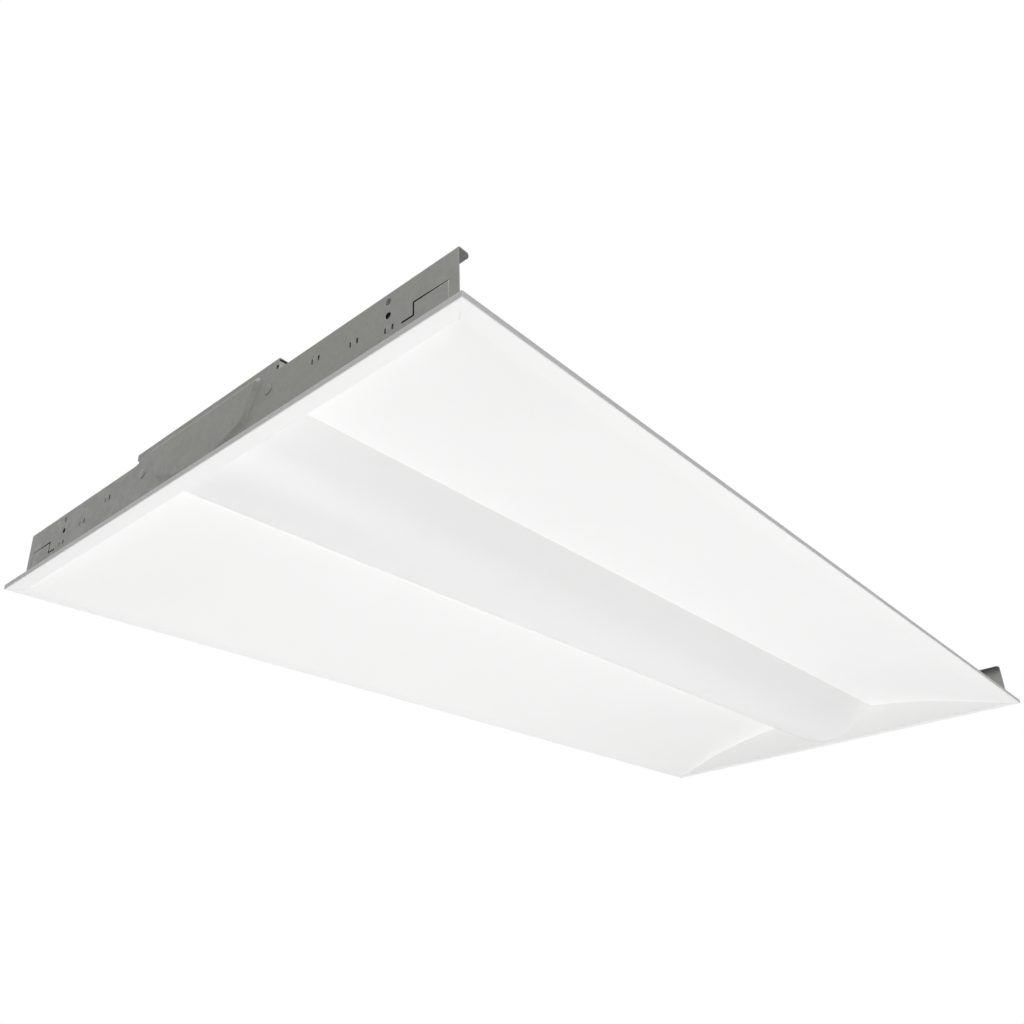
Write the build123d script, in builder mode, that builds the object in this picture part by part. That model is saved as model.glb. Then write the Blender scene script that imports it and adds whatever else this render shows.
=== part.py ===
from build123d import *
import os
from math import asin, atan2, cos, degrees, hypot, radians, sin, sqrt

# Recessed lay-in troffer, two feet by four, seen as it hangs: +Z up, X along the fixture.
# The origin is the centre of the flange's underside, the face that sits on the ceiling tees.
# Sizes are millimetres. "far" is the +X end, "left" the +Y side.

os.makedirs("parts", exist_ok=True)

# ---- overall sizes -------------------------------------------------------------------
FIXTURE_LENGTH = 1212.85
FIXTURE_WIDTH = 603.25
PAINTED_SHEET = 0.6
STEEL_SHEET = 0.8
BEND_RADIUS = 1.2
FLUSH_GAP = 0.05       # between two sheets that lie face to face
PART_GAP = 0.3         # between edges that only pass each other
FASTENER_SIDES = 6     # small rivets, screws and their holes are prisms of this many sides
CUT = 1.0              # how far a cutting shape reaches past what it cuts

# ---- white reflector shell -----------------------------------------------------------
LIP_HEIGHT = 5.0
END_FLANGE = 13.9
SIDE_FLANGE = 15.6
MITRE_GAP = 0.4
COVE_RISE = 40.4
COVE_SAG = 5.4
COVE_END_Y = 88.3      # where the cove turns up beside the lens
CURL_RADIUS = 3.0
REFLECTOR_LIP = 12.6   # height of the cove's upturned inner edge over the cove
END_LEAN = 0.45        # how far the inner end panel leans in for each unit of height
PANEL_TOP = 60.0
PANEL_OVER_COVE = 5.0

# ---- grey end plates -----------------------------------------------------------------
PLATE_INSET = 11.4     # outer face to the flange's end edge
PLATE_SIDE_INSET = 13.225   # from the flange's side edge
PLATE_TOP = 57.6
PLATE_FLANGE = 12.0
FLANGE_CORNER = 4.0
PLATE_FOOT = 9.5
TAB_HALF = 99.5
TAB_RISE = 10.4
RELIEF_WIDTH = 3.4
RELIEF_HEIGHT = 3.6
EMBOSS_DEPTH = 2.5
EMBOSS_RIM = 5.4
EMBOSS_TOP_HALF = 73.0
EMBOSS_TOP = 57.4
EMBOSS_SHOULDER_HALF = 62.3
EMBOSS_SHOULDER = 35.5
EMBOSS_BELLY_HALF = 42.0
EMBOSS_BELLY = 23.0
EMBOSS_BOTTOM = 14.9
DIMPLE_Y = 87.7
DIMPLE_Z = 44.0
DIMPLE_RADIUS = 4.7
PRESS_DEPTH = 0.5      # how far dimples and straps are pushed out of the sheet
SLOT_INSETS = (156.925, 114.625, 78.525)
SLOT_OVER_COVE = 8.3
SLOT_HEIGHT = 4.6
SLOT_WIDTH = 1.6
SLOT_PITCH = 7.3
REFLECTOR_TAB = 5.0
REFLECTOR_FINGER = 3.0   # how far a hook tab stands above its slots
HANGER_HOLE_INSET = 79.825
HANGER_HOLE_LOW = 38.0
HANGER_HOLE_HIGH = 50.0
HANGER_HOLE_RADIUS = 2.7

# ---- grid clips, cut from the end plates ---------------------------------------------
CLIP_HINGE_INSET = 22.625
CLIP_STEP_INSET = 54.025
CLIP_TIP_INSET = 64.625
CLIP_BOTTOM = 7.0
CLIP_TIP_TOP = 23.2
CLIP_TOP = 34.2
CLIP_SLIT = 1.6
CLIP_SLIT_END = 0.6
CLIP_HINGE_GAP = 0.15

# ---- centre channel ------------------------------------------------------------------
CHANNEL_HALF = 98.5
CHANNEL_UNDER_TAB = 0.2
CHANNEL_FLANGE_Z = 44.4
END_EAR_DEPTH = 17.0
END_EAR_TOP = 60.0
LIP_RIVET_COUNT = 5
LIP_RIVET_END = 86.425    # from the flange's end edge to the first rivet
RIVET_RADIUS = 1.5
RIVET_HEAD_RADIUS = 2.6
RIVET_HEAD = 0.5

# ---- lens ----------------------------------------------------------------------------
LENS_SIDE_GAP = 1.2
LENS_END_GAP = 0.8
LENS_WALL = 2.0
LENS_BOTTOM = 4.5
LENS_BELLY_HALF = 54.7
LENS_BELLY_RISE = 18.03
LENS_SHOULDER = 44.5
LENS_RIM = 7.5
LENS_CORNER = 2.5

# ---- light tray and boards -----------------------------------------------------------
TRAY_EDGE_GAP = 0.5
TRAY_SHELF_Y = 74.0
TRAY_WEB_HALF = 66.0
TRAY_RISE = 7.25
SPACER_RADIUS = 3.5
SPACER_COUNT = 3
SPACER_END = 206.425
SPACER_Y = 12.0
BOARD_FROM_END = 46.425
BOARD_WIDTH = 24.0
BOARD_THICKNESS = 1.6
BOARD_Y = 36.0
BOARD_END_GAP = 4.0
PACKAGE_COUNT = 16
PACKAGE_FROM_END = 23.0   # from the board's end to its first package
PACKAGE_LENGTH = 3.5
PACKAGE_WIDTH = 2.8
PACKAGE_HEIGHT = 0.7
CONNECTOR_LENGTH = 12.0
CONNECTOR_WIDTH = 9.0
CONNECTOR_HEIGHT = 4.5
CONNECTOR_INSET = 4.0
PORT_SIZE = 2.2
SCREW_RADIUS = 1.45
SCREW_HEAD_RADIUS = 3.0
SCREW_HEAD = 1.3
SCREW_HEAD_TAPER = 35
SCREW_CLEARANCE = 0.15
BOARD_SCREW_STEPS = (-7.0, 0.0, 7.0)   # in package pitches from the board's middle

# ---- lens clips ----------------------------------------------------------------------
CLIP_STRIP = 0.5
SPRING_WIDTH = 14.0
SPRING_COUNT = 4
SPRING_END = 186.425
SPRING_FOOT = 7.0
SPRING_LEG = 5.6
SPRING_FLARE = 1.6

# ---- driver housing on the back, left of the channel ---------------------------------
HOUSING_LENGTH = 460.0
HOUSING_WIDTH = 69.4
HOUSING_FLOOR = 41.0
HOUSING_TOP = 65.2
HOUSING_FLANGE_DROP = 1.2
COVER_SKIRT = 7.0
COVER_SCREW_INSET = 5.0
COVER_TAB_WIDTH = 14.0
COVER_TAB_DEPTH = 10.0
CONDUIT_RADIUS = 11.1
CONDUIT_FROM_END = 58.0
SLUG_FROM_END = 25.0
SLUG_SLIT = 0.4
SLUG_SIDES = 20
SLUG_BRIDGE = 3.0
GROMMET_FROM_END = 25.0
GROMMET_Z = 59.4
GROMMET_RADIUS = 3.5
GROMMET_BORE = 2.3
GROMMET_FLANGE = 1.2
HOUSING_RIVET_SHARES = (-0.43, -0.15, 0.15, 0.37)   # of the housing's length, from its middle
HOUSING_RIVET_Z = 59.0
DRIVER_FROM_END = 29.0
DRIVER_LENGTH = 300.0
DRIVER_WIDTH = 30.0
DRIVER_HEIGHT = 20.0
DRIVER_BASE_OVERHANG = 21.0
DRIVER_BASE = 1.0
DRIVER_CORNER = 1.5
TERMINAL_LENGTH = 10.0
TERMINAL_WIDTH = 22.0
TERMINAL_HEIGHT = 11.0
TERMINAL_PORTS = 4
TERMINAL_PITCH = 5.0
GROUND_FROM_END = 30.0
GROUND_Y_FROM_WALL = 14.0
GROUND_RADIUS = 3.6

# ---- derived places ------------------------------------------------------------------
HALF_LENGTH = FIXTURE_LENGTH / 2
HALF_WIDTH = FIXTURE_WIDTH / 2
END_FOLD_X = HALF_LENGTH - END_FLANGE
SIDE_FOLD_Y = HALF_WIDTH - SIDE_FLANGE

# Circle of the cove's section, from its chord and sag.
COVE_CHORD = hypot(SIDE_FOLD_Y - COVE_END_Y, COVE_RISE)
COVE_RADIUS = (COVE_CHORD ** 2 / 4 + COVE_SAG ** 2) / (2 * COVE_SAG)
COVE_TILT = atan2(COVE_RISE, SIDE_FOLD_Y - COVE_END_Y)
COVE_MID = ((SIDE_FOLD_Y + COVE_END_Y) / 2 + COVE_SAG * sin(COVE_TILT), COVE_RISE / 2 + COVE_SAG * cos(COVE_TILT))
COVE_CENTRE = (COVE_MID[0] - COVE_RADIUS * sin(COVE_TILT), COVE_MID[1] - COVE_RADIUS * cos(COVE_TILT))
COVE_END_SLOPE = COVE_TILT - asin(COVE_CHORD / 2 / COVE_RADIUS)
OPENING_HALF = COVE_END_Y - CURL_RADIUS * (1 - sin(COVE_END_SLOPE))   # half the slot the lens fills

LIP_TOP = COVE_RISE + REFLECTOR_LIP
LIP_RIVET_Z = (CHANNEL_FLANGE_Z + LIP_TOP) / 2
PLATE_OUT_X = HALF_LENGTH - PLATE_INSET
PLATE_IN_X = PLATE_OUT_X - STEEL_SHEET
TAB_TOP = PLATE_TOP + TAB_RISE
CHANNEL_TOP = TAB_TOP - STEEL_SHEET - CHANNEL_UNDER_TAB
CHANNEL_IN = CHANNEL_HALF - STEEL_SHEET
CHANNEL_END_X = PLATE_IN_X - PART_GAP
CHANNEL_LIP_Y = OPENING_HALF + PAINTED_SHEET + FLUSH_GAP
PANEL_HALF = CHANNEL_IN - PART_GAP
TRAY_SHELF_Z = LIP_TOP + 3 * FLUSH_GAP
TRAY_WEB_Z = TRAY_SHELF_Z + TRAY_RISE
TRAY_TOP = TRAY_WEB_Z + PAINTED_SHEET
BOARD_TOP = TRAY_WEB_Z - FLUSH_GAP
BOARD_BOTTOM = BOARD_TOP - BOARD_THICKNESS
LENS_HALF = OPENING_HALF - LENS_SIDE_GAP
HOUSING_IN_Y = CHANNEL_HALF + 2 * FLUSH_GAP
HOUSING_OUT_Y = HOUSING_IN_Y + HOUSING_WIDTH
HOUSING_MID_Y = (HOUSING_IN_Y + HOUSING_OUT_Y) / 2
FLOOR_TOP = HOUSING_FLOOR + STEEL_SHEET
COVER_BOTTOM = HOUSING_TOP + PART_GAP
SIDES = (1, -1)


def stations(count, end_inset):
    """Evenly spread places along the fixture, the outer two at end_inset from its ends."""
    pitch = 2 * (HALF_LENGTH - end_inset) / (count - 1)
    return [(i - (count - 1) / 2) * pitch for i in range(count)]


PLATE_HALF = HALF_WIDTH - PLATE_SIDE_INSET
SLOT_STATIONS = [HALF_WIDTH - inset for inset in SLOT_INSETS]
HANGER_HOLE_Y = HALF_WIDTH - HANGER_HOLE_INSET
CLIP_HINGE_Y = HALF_WIDTH - CLIP_HINGE_INSET
CLIP_STEP_Y = HALF_WIDTH - CLIP_STEP_INSET
CLIP_TIP_Y = HALF_WIDTH - CLIP_TIP_INSET
LIP_RIVET_XS = stations(LIP_RIVET_COUNT, LIP_RIVET_END)
SPACER_STATIONS = stations(SPACER_COUNT, SPACER_END)
SPRING_STATIONS = stations(SPRING_COUNT, SPRING_END)
BOARD_LENGTH = HALF_LENGTH - BOARD_FROM_END - BOARD_END_GAP
BOARD_X = BOARD_END_GAP + BOARD_LENGTH / 2
PACKAGE_PITCH = (BOARD_LENGTH - 2 * PACKAGE_FROM_END) / (PACKAGE_COUNT - 1)
END_WALL_X = HOUSING_LENGTH / 2
CONDUIT_X = END_WALL_X - CONDUIT_FROM_END
SLUG_X = SLUG_FROM_END - END_WALL_X
GROMMET_X = END_WALL_X - GROMMET_FROM_END
GROUND_X = END_WALL_X - GROUND_FROM_END
HOUSING_RIVETS = [share * HOUSING_LENGTH for share in HOUSING_RIVET_SHARES]
DRIVER_X = DRIVER_FROM_END + DRIVER_BASE_OVERHANG + DRIVER_LENGTH / 2 - END_WALL_X


def cove_z(y):
    """Height of the cove's visible face at a distance y from the centre line."""
    return COVE_CENTRE[1] + sqrt(COVE_RADIUS ** 2 - (y - COVE_CENTRE[0]) ** 2)


def panel_x(z):
    """Distance of the inner end panel's visible face from the middle at height z."""
    return END_FOLD_X - END_LEAN * z


def strip(path, thickness, side=Side.RIGHT):
    """Face of a bent strip: the path, its copy one thickness away, and the two ends."""
    outline = offset(path.wires()[0], amount=thickness, side=side, closed=True, mode=Mode.PRIVATE)
    return make_face(outline.edges())


# ---- reflector wings: side flange with lip, cove, and upturned edge beside the lens --
with BuildPart() as wing_left:
    with BuildSketch(Plane.YZ):
        with BuildLine() as wing_path:
            FilletPolyline((HALF_WIDTH, LIP_HEIGHT), (HALF_WIDTH, 0), (SIDE_FOLD_Y, 0), radius=BEND_RADIUS)
            cove = ThreePointArc((SIDE_FOLD_Y, 0), COVE_MID, (COVE_END_Y, COVE_RISE))
            curl = JernArc(cove @ 1, cove % 1, CURL_RADIUS, degrees(COVE_END_SLOPE) - 90)
            Line(curl @ 1, (curl @ 1 + Vector(0, LIP_TOP - (curl @ 1).Y)))
        strip(wing_path, PAINTED_SHEET)
    extrude(amount=HALF_LENGTH, both=True)
    # the ends lean in behind the inner end panels
    with BuildSketch(Plane.XZ):
        with BuildLine():
            Polyline(
                (panel_x(0) - PART_GAP, -CUT),
                (panel_x(0) - PART_GAP, 0),
                (panel_x(TAB_TOP) - PART_GAP, TAB_TOP),
                (HALF_LENGTH + CUT, TAB_TOP),
                (HALF_LENGTH + CUT, -CUT),
                close=True,
            )
        make_face()
        mirror(about=Plane.YZ)
    extrude(amount=-SIDE_FOLD_Y, mode=Mode.SUBTRACT)
    # the flange corners are mitred
    with BuildSketch(Plane.XY.offset(-CUT)):
        with BuildLine():
            Polyline(
                (END_FOLD_X - MITRE_GAP, SIDE_FOLD_Y),
                (HALF_LENGTH - MITRE_GAP, HALF_WIDTH),
                (HALF_LENGTH - MITRE_GAP, HALF_WIDTH + CUT),
                (HALF_LENGTH + CUT, HALF_WIDTH + CUT),
                (HALF_LENGTH + CUT, SIDE_FOLD_Y),
                close=True,
            )
        make_face()
        mirror(about=Plane.YZ)
    extrude(amount=LIP_HEIGHT + 2 * CUT, mode=Mode.SUBTRACT)
    # rivet holes through the upturned edge
    with BuildSketch(Plane.XZ.offset(-OPENING_HALF + CUT)):
        with Locations([(x, LIP_RIVET_Z) for x in LIP_RIVET_XS]):
            RegularPolygon(RIVET_RADIUS + FLUSH_GAP, FASTENER_SIDES)
    extrude(amount=-PAINTED_SHEET - 2 * CUT, mode=Mode.SUBTRACT)
wing_left.part.label = "wing_left"
export_step(wing_left.part, "parts/wing_left.step")

with BuildPart() as wing_right:
    add(mirror(wing_left.part, about=Plane.XZ, mode=Mode.PRIVATE))
wing_right.part.label = "wing_right"
export_step(wing_right.part, "parts/wing_right.step")


# ---- end reflectors: end flange with lip, leaning inner panel and its hook tabs ------
with BuildPart() as end_reflector_far:
    with BuildSketch(Plane.XZ):
        with BuildLine() as panel_path:
            FilletPolyline((HALF_LENGTH, LIP_HEIGHT), (HALF_LENGTH, 0), (END_FOLD_X, 0), radius=BEND_RADIUS)
            Line((END_FOLD_X, 0), (panel_x(PANEL_TOP), PANEL_TOP))
        strip(panel_path, PAINTED_SHEET)
    extrude(amount=HALF_WIDTH, both=True)
    # mitred flange corners
    with BuildSketch(Plane.XY.offset(-CUT)):
        with BuildLine():
            Polyline(
                (0, SIDE_FOLD_Y),
                (END_FOLD_X, SIDE_FOLD_Y),
                (HALF_LENGTH, HALF_WIDTH),
                (HALF_LENGTH, HALF_WIDTH + CUT),
                (0, HALF_WIDTH + CUT),
                close=True,
            )
        make_face()
        mirror(about=Plane.XZ)
    extrude(amount=PANEL_TOP + 2 * CUT, mode=Mode.SUBTRACT)
    # the panel's top edge follows the coves at a set height above them
    with BuildSketch(Plane.YZ):
        with BuildLine():
            crest = ThreePointArc(
                (SIDE_FOLD_Y, LIP_HEIGHT + FLUSH_GAP),
                (COVE_MID[0], COVE_MID[1] + PANEL_OVER_COVE),
                (PANEL_HALF, cove_z(PANEL_HALF) + PANEL_OVER_COVE),
            )
            Polyline(
                crest @ 1,
                (PANEL_HALF, PANEL_TOP + CUT),
                (HALF_WIDTH + CUT, PANEL_TOP + CUT),
                (HALF_WIDTH + CUT, LIP_HEIGHT + FLUSH_GAP),
                crest @ 0,
            )
        make_face()
        mirror(about=Plane.YZ)
    extrude(amount=HALF_LENGTH + CUT, mode=Mode.SUBTRACT)
    # hook tabs: a ledge out to the end plate and a finger up behind each strap
    for station in SLOT_STATIONS:
        ledge_z = cove_z(station) + SLOT_OVER_COVE - SLOT_HEIGHT / 2 - 2 * PAINTED_SHEET - PART_GAP
        for side in SIDES:
            with BuildSketch(Plane.XZ.offset(-side * station - REFLECTOR_TAB / 2)):
                with BuildLine() as tab_path:
                    Polyline(
                        (panel_x(ledge_z) + PAINTED_SHEET / 2, ledge_z),
                        (PLATE_IN_X - FLUSH_GAP, ledge_z),
                        (PLATE_IN_X - FLUSH_GAP, ledge_z + SLOT_HEIGHT + REFLECTOR_FINGER),
                    )
                strip(tab_path, PAINTED_SHEET, Side.LEFT)
            extrude(amount=REFLECTOR_TAB)
end_reflector_far.part.label = "end_reflector_far"
export_step(end_reflector_far.part, "parts/end_reflector_far.step")

with BuildPart() as end_reflector_near:
    add(end_reflector_far.part.rotate(Axis.Z, 180))
end_reflector_near.part.label = "end_reflector_near"
export_step(end_reflector_near.part, "parts/end_reflector_near.step")


# ---- end plates: web, foot, stiffening flanges, pressed centre, slots and clip windows
def emboss_outline():
    """Closed outline of the pressed centre's raised floor, in the end plate's plane."""
    with BuildLine() as outline:
        Line((EMBOSS_TOP_HALF, EMBOSS_TOP), (-EMBOSS_TOP_HALF, EMBOSS_TOP))
        Line((-EMBOSS_TOP_HALF, EMBOSS_TOP), (-EMBOSS_SHOULDER_HALF, EMBOSS_SHOULDER))
        corner_y = (EMBOSS_SHOULDER_HALF + EMBOSS_BELLY_HALF) / 2
        corner_z = (EMBOSS_SHOULDER + EMBOSS_BELLY) / 2
        bulge = (EMBOSS_SHOULDER - EMBOSS_BELLY) / 10
        ThreePointArc(
            (-EMBOSS_SHOULDER_HALF, EMBOSS_SHOULDER),
            (-corner_y - bulge, corner_z - bulge),
            (-EMBOSS_BELLY_HALF, EMBOSS_BELLY),
        )
        ThreePointArc((-EMBOSS_BELLY_HALF, EMBOSS_BELLY), (0, EMBOSS_BOTTOM), (EMBOSS_BELLY_HALF, EMBOSS_BELLY))
        ThreePointArc(
            (EMBOSS_BELLY_HALF, EMBOSS_BELLY),
            (corner_y + bulge, corner_z - bulge),
            (EMBOSS_SHOULDER_HALF, EMBOSS_SHOULDER),
        )
        Line((EMBOSS_SHOULDER_HALF, EMBOSS_SHOULDER), (EMBOSS_TOP_HALF, EMBOSS_TOP))
    return outline


def emboss_block(back_x):
    """Solid from the rim on the plane back_x out to the raised floor."""
    with BuildPart() as block:
        with BuildSketch(Plane.YZ.offset(back_x + EMBOSS_DEPTH)):
            make_face(emboss_outline().edges())
        extrude(amount=-EMBOSS_DEPTH, taper=-degrees(atan2(EMBOSS_RIM, EMBOSS_DEPTH)))
    return block.part


def clip_outline(grow, grow_hinge):
    """Points of a grid clip's outline, grown by the slit round it."""
    return (
        (CLIP_HINGE_Y, CLIP_BOTTOM - min(grow, CLIP_SLIT_END)),
        (CLIP_TIP_Y - grow, CLIP_BOTTOM - min(grow, CLIP_SLIT_END)),
        (CLIP_TIP_Y - grow, CLIP_TIP_TOP + grow),
        (CLIP_STEP_Y - grow, CLIP_TIP_TOP + grow),
        (CLIP_STEP_Y - grow, CLIP_TOP + grow),
        (CLIP_HINGE_Y, CLIP_TOP + grow_hinge),
    )


with BuildPart() as end_plate_far:
    # web and centre tab
    with BuildSketch(Plane.YZ.offset(PLATE_IN_X)):
        with BuildLine():
            Polyline(
                (-PLATE_HALF, PAINTED_SHEET + FLUSH_GAP),
                (PLATE_HALF, PAINTED_SHEET + FLUSH_GAP),
                (PLATE_HALF, PLATE_TOP),
                (TAB_HALF, PLATE_TOP),
                (TAB_HALF, TAB_TOP),
                (-TAB_HALF, TAB_TOP),
                (-TAB_HALF, PLATE_TOP),
                (-PLATE_HALF, PLATE_TOP),
                close=True,
            )
        make_face()
    extrude(amount=STEEL_SHEET)
    # stiffening flanges, folded inward along the two top edges
    for side in SIDES:
        flange_mid = side * (PLATE_HALF + TAB_HALF) / 2
        with BuildSketch(Plane.XY.offset(PLATE_TOP - STEEL_SHEET)):
            with Locations((PLATE_OUT_X - PLATE_FLANGE / 2, flange_mid)):
                Rectangle(PLATE_FLANGE, PLATE_HALF - TAB_HALF)
        extrude(amount=STEEL_SHEET)
    with BuildSketch(Plane.XY.offset(TAB_TOP - STEEL_SHEET)):
        with Locations((PLATE_OUT_X - PLATE_FLANGE / 2, 0)):
            Rectangle(PLATE_FLANGE, 2 * TAB_HALF)
    extrude(amount=STEEL_SHEET)
    flange_corners = (
        end_plate_far.edges()
        .filter_by(Axis.Z)
        .filter_by_position(Axis.X, PLATE_OUT_X - PLATE_FLANGE - 1, PLATE_OUT_X - PLATE_FLANGE + 1)
    )
    fillet(flange_corners, radius=FLANGE_CORNER)
    bend_edges = (
        end_plate_far.edges()
        .filter_by(Axis.Y)
        .filter_by_position(Axis.X, PLATE_OUT_X - PART_GAP, PLATE_OUT_X + PART_GAP)
        .filter_by_position(Axis.Z, PLATE_TOP - PART_GAP, TAB_TOP + PART_GAP)
    )
    fillet(bend_edges, radius=STEEL_SHEET * 0.9)
    # foot, folded outward onto the flange
    with BuildSketch(Plane.XY.offset(PAINTED_SHEET + FLUSH_GAP)):
        with Locations((PLATE_OUT_X + PLATE_FOOT / 2, 0)):
            Rectangle(PLATE_FOOT, 2 * SIDE_FOLD_Y)
    extrude(amount=STEEL_SHEET)
    foot_bend = (
        end_plate_far.edges()
        .filter_by(Axis.Y)
        .filter_by_position(Axis.X, PLATE_IN_X - FLUSH_GAP, PLATE_IN_X + FLUSH_GAP)
        .filter_by_position(Axis.Z, PAINTED_SHEET, PAINTED_SHEET + 2 * FLUSH_GAP)
    )
    fillet(foot_bend, radius=STEEL_SHEET * 0.9)
    # relief notches beside the tab
    with BuildSketch(Plane.YZ.offset(PLATE_IN_X - PLATE_FLANGE)):
        for side in SIDES:
            with Locations((side * (TAB_HALF - RELIEF_WIDTH / 2 + STEEL_SHEET), PLATE_TOP + RELIEF_HEIGHT / 2)):
                Rectangle(RELIEF_WIDTH + 2 * STEEL_SHEET, RELIEF_HEIGHT)
    extrude(amount=PLATE_FLANGE + 2 * STEEL_SHEET, mode=Mode.SUBTRACT)
    # pressed centre
    add(emboss_block(PLATE_OUT_X))
    add(emboss_block(PLATE_IN_X), mode=Mode.SUBTRACT)
    # half-sheared dimples
    with BuildSketch(Plane.YZ.offset(PLATE_IN_X)):
        with Locations((DIMPLE_Y, DIMPLE_Z), (-DIMPLE_Y, DIMPLE_Z)):
            RegularPolygon(DIMPLE_RADIUS, 2 * FASTENER_SIDES)
    extrude(amount=STEEL_SHEET, mode=Mode.SUBTRACT)
    with BuildSketch(Plane.YZ.offset(PLATE_IN_X + PRESS_DEPTH)):
        with Locations((DIMPLE_Y, DIMPLE_Z), (-DIMPLE_Y, DIMPLE_Z)):
            RegularPolygon(DIMPLE_RADIUS, 2 * FASTENER_SIDES)
    extrude(amount=STEEL_SHEET)
    # slot pairs with the strap between them pushed out
    for station in SLOT_STATIONS:
        for side in SIDES:
            centre = (side * station, cove_z(station) + SLOT_OVER_COVE)
            with BuildSketch(Plane.YZ.offset(PLATE_IN_X)):
                with Locations(centre):
                    Rectangle(SLOT_PITCH + SLOT_WIDTH, SLOT_HEIGHT)
            extrude(amount=STEEL_SHEET, mode=Mode.SUBTRACT)
            with BuildSketch(Plane.YZ.offset(PLATE_IN_X + PRESS_DEPTH)):
                with Locations(centre):
                    Rectangle(SLOT_PITCH - SLOT_WIDTH, SLOT_HEIGHT)
            extrude(amount=STEEL_SHEET)
    # hanger holes and clip windows
    with BuildSketch(Plane.YZ.offset(PLATE_IN_X)):
        for side in SIDES:
            with Locations((side * HANGER_HOLE_Y, HANGER_HOLE_LOW), (side * HANGER_HOLE_Y, HANGER_HOLE_HIGH)):
                Circle(HANGER_HOLE_RADIUS)
        with BuildLine():
            Polyline(*clip_outline(CLIP_SLIT, CLIP_SLIT_END), close=True)
        make_face()
        with BuildLine():
            Polyline(*[(-y, z) for y, z in clip_outline(CLIP_SLIT, CLIP_SLIT_END)], close=True)
        make_face()
        for side in SIDES:
            with Locations((side * CLIP_HINGE_Y, (CLIP_BOTTOM + CLIP_TOP) / 2)):
                Rectangle(STEEL_SHEET + 2 * CLIP_HINGE_GAP, CLIP_TOP - CLIP_BOTTOM + 2 * CLIP_SLIT_END)
    extrude(amount=STEEL_SHEET, mode=Mode.SUBTRACT)
end_plate_far.part.label = "end_plate_far"
export_step(end_plate_far.part, "parts/end_plate_far.step")

with BuildPart() as end_plate_near:
    add(end_plate_far.part.rotate(Axis.Z, 180))
end_plate_near.part.label = "end_plate_near"
export_step(end_plate_near.part, "parts/end_plate_near.step")


# ---- grid clips: stepped tongues that bend out of the end plates over the ceiling tee
with BuildPart() as clip_blank:
    with BuildSketch(Plane.YZ.offset(PLATE_IN_X)):
        with BuildLine():
            Polyline(*clip_outline(0, 0), close=True)
        make_face()
    extrude(amount=STEEL_SHEET)
    with BuildSketch(Plane.XY.offset(CLIP_BOTTOM)):
        with Locations((PLATE_IN_X + STEEL_SHEET / 2, CLIP_HINGE_Y)):
            Circle(STEEL_SHEET / 2)
    extrude(amount=CLIP_TOP - CLIP_BOTTOM)
far_left = clip_blank.part
far_right = mirror(far_left, about=Plane.XZ, mode=Mode.PRIVATE)
CLIP_PLACES = {
    "grid_clip_far_left": far_left,
    "grid_clip_far_right": far_right,
    "grid_clip_near_right": far_left.rotate(Axis.Z, 180),
    "grid_clip_near_left": far_right.rotate(Axis.Z, 180),
}
for clip_name, clip_shape in CLIP_PLACES.items():
    with BuildPart() as grid_clip:
        add(clip_shape)
    grid_clip.part.label = clip_name
    export_step(grid_clip.part, "parts/" + clip_name + ".step")


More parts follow.
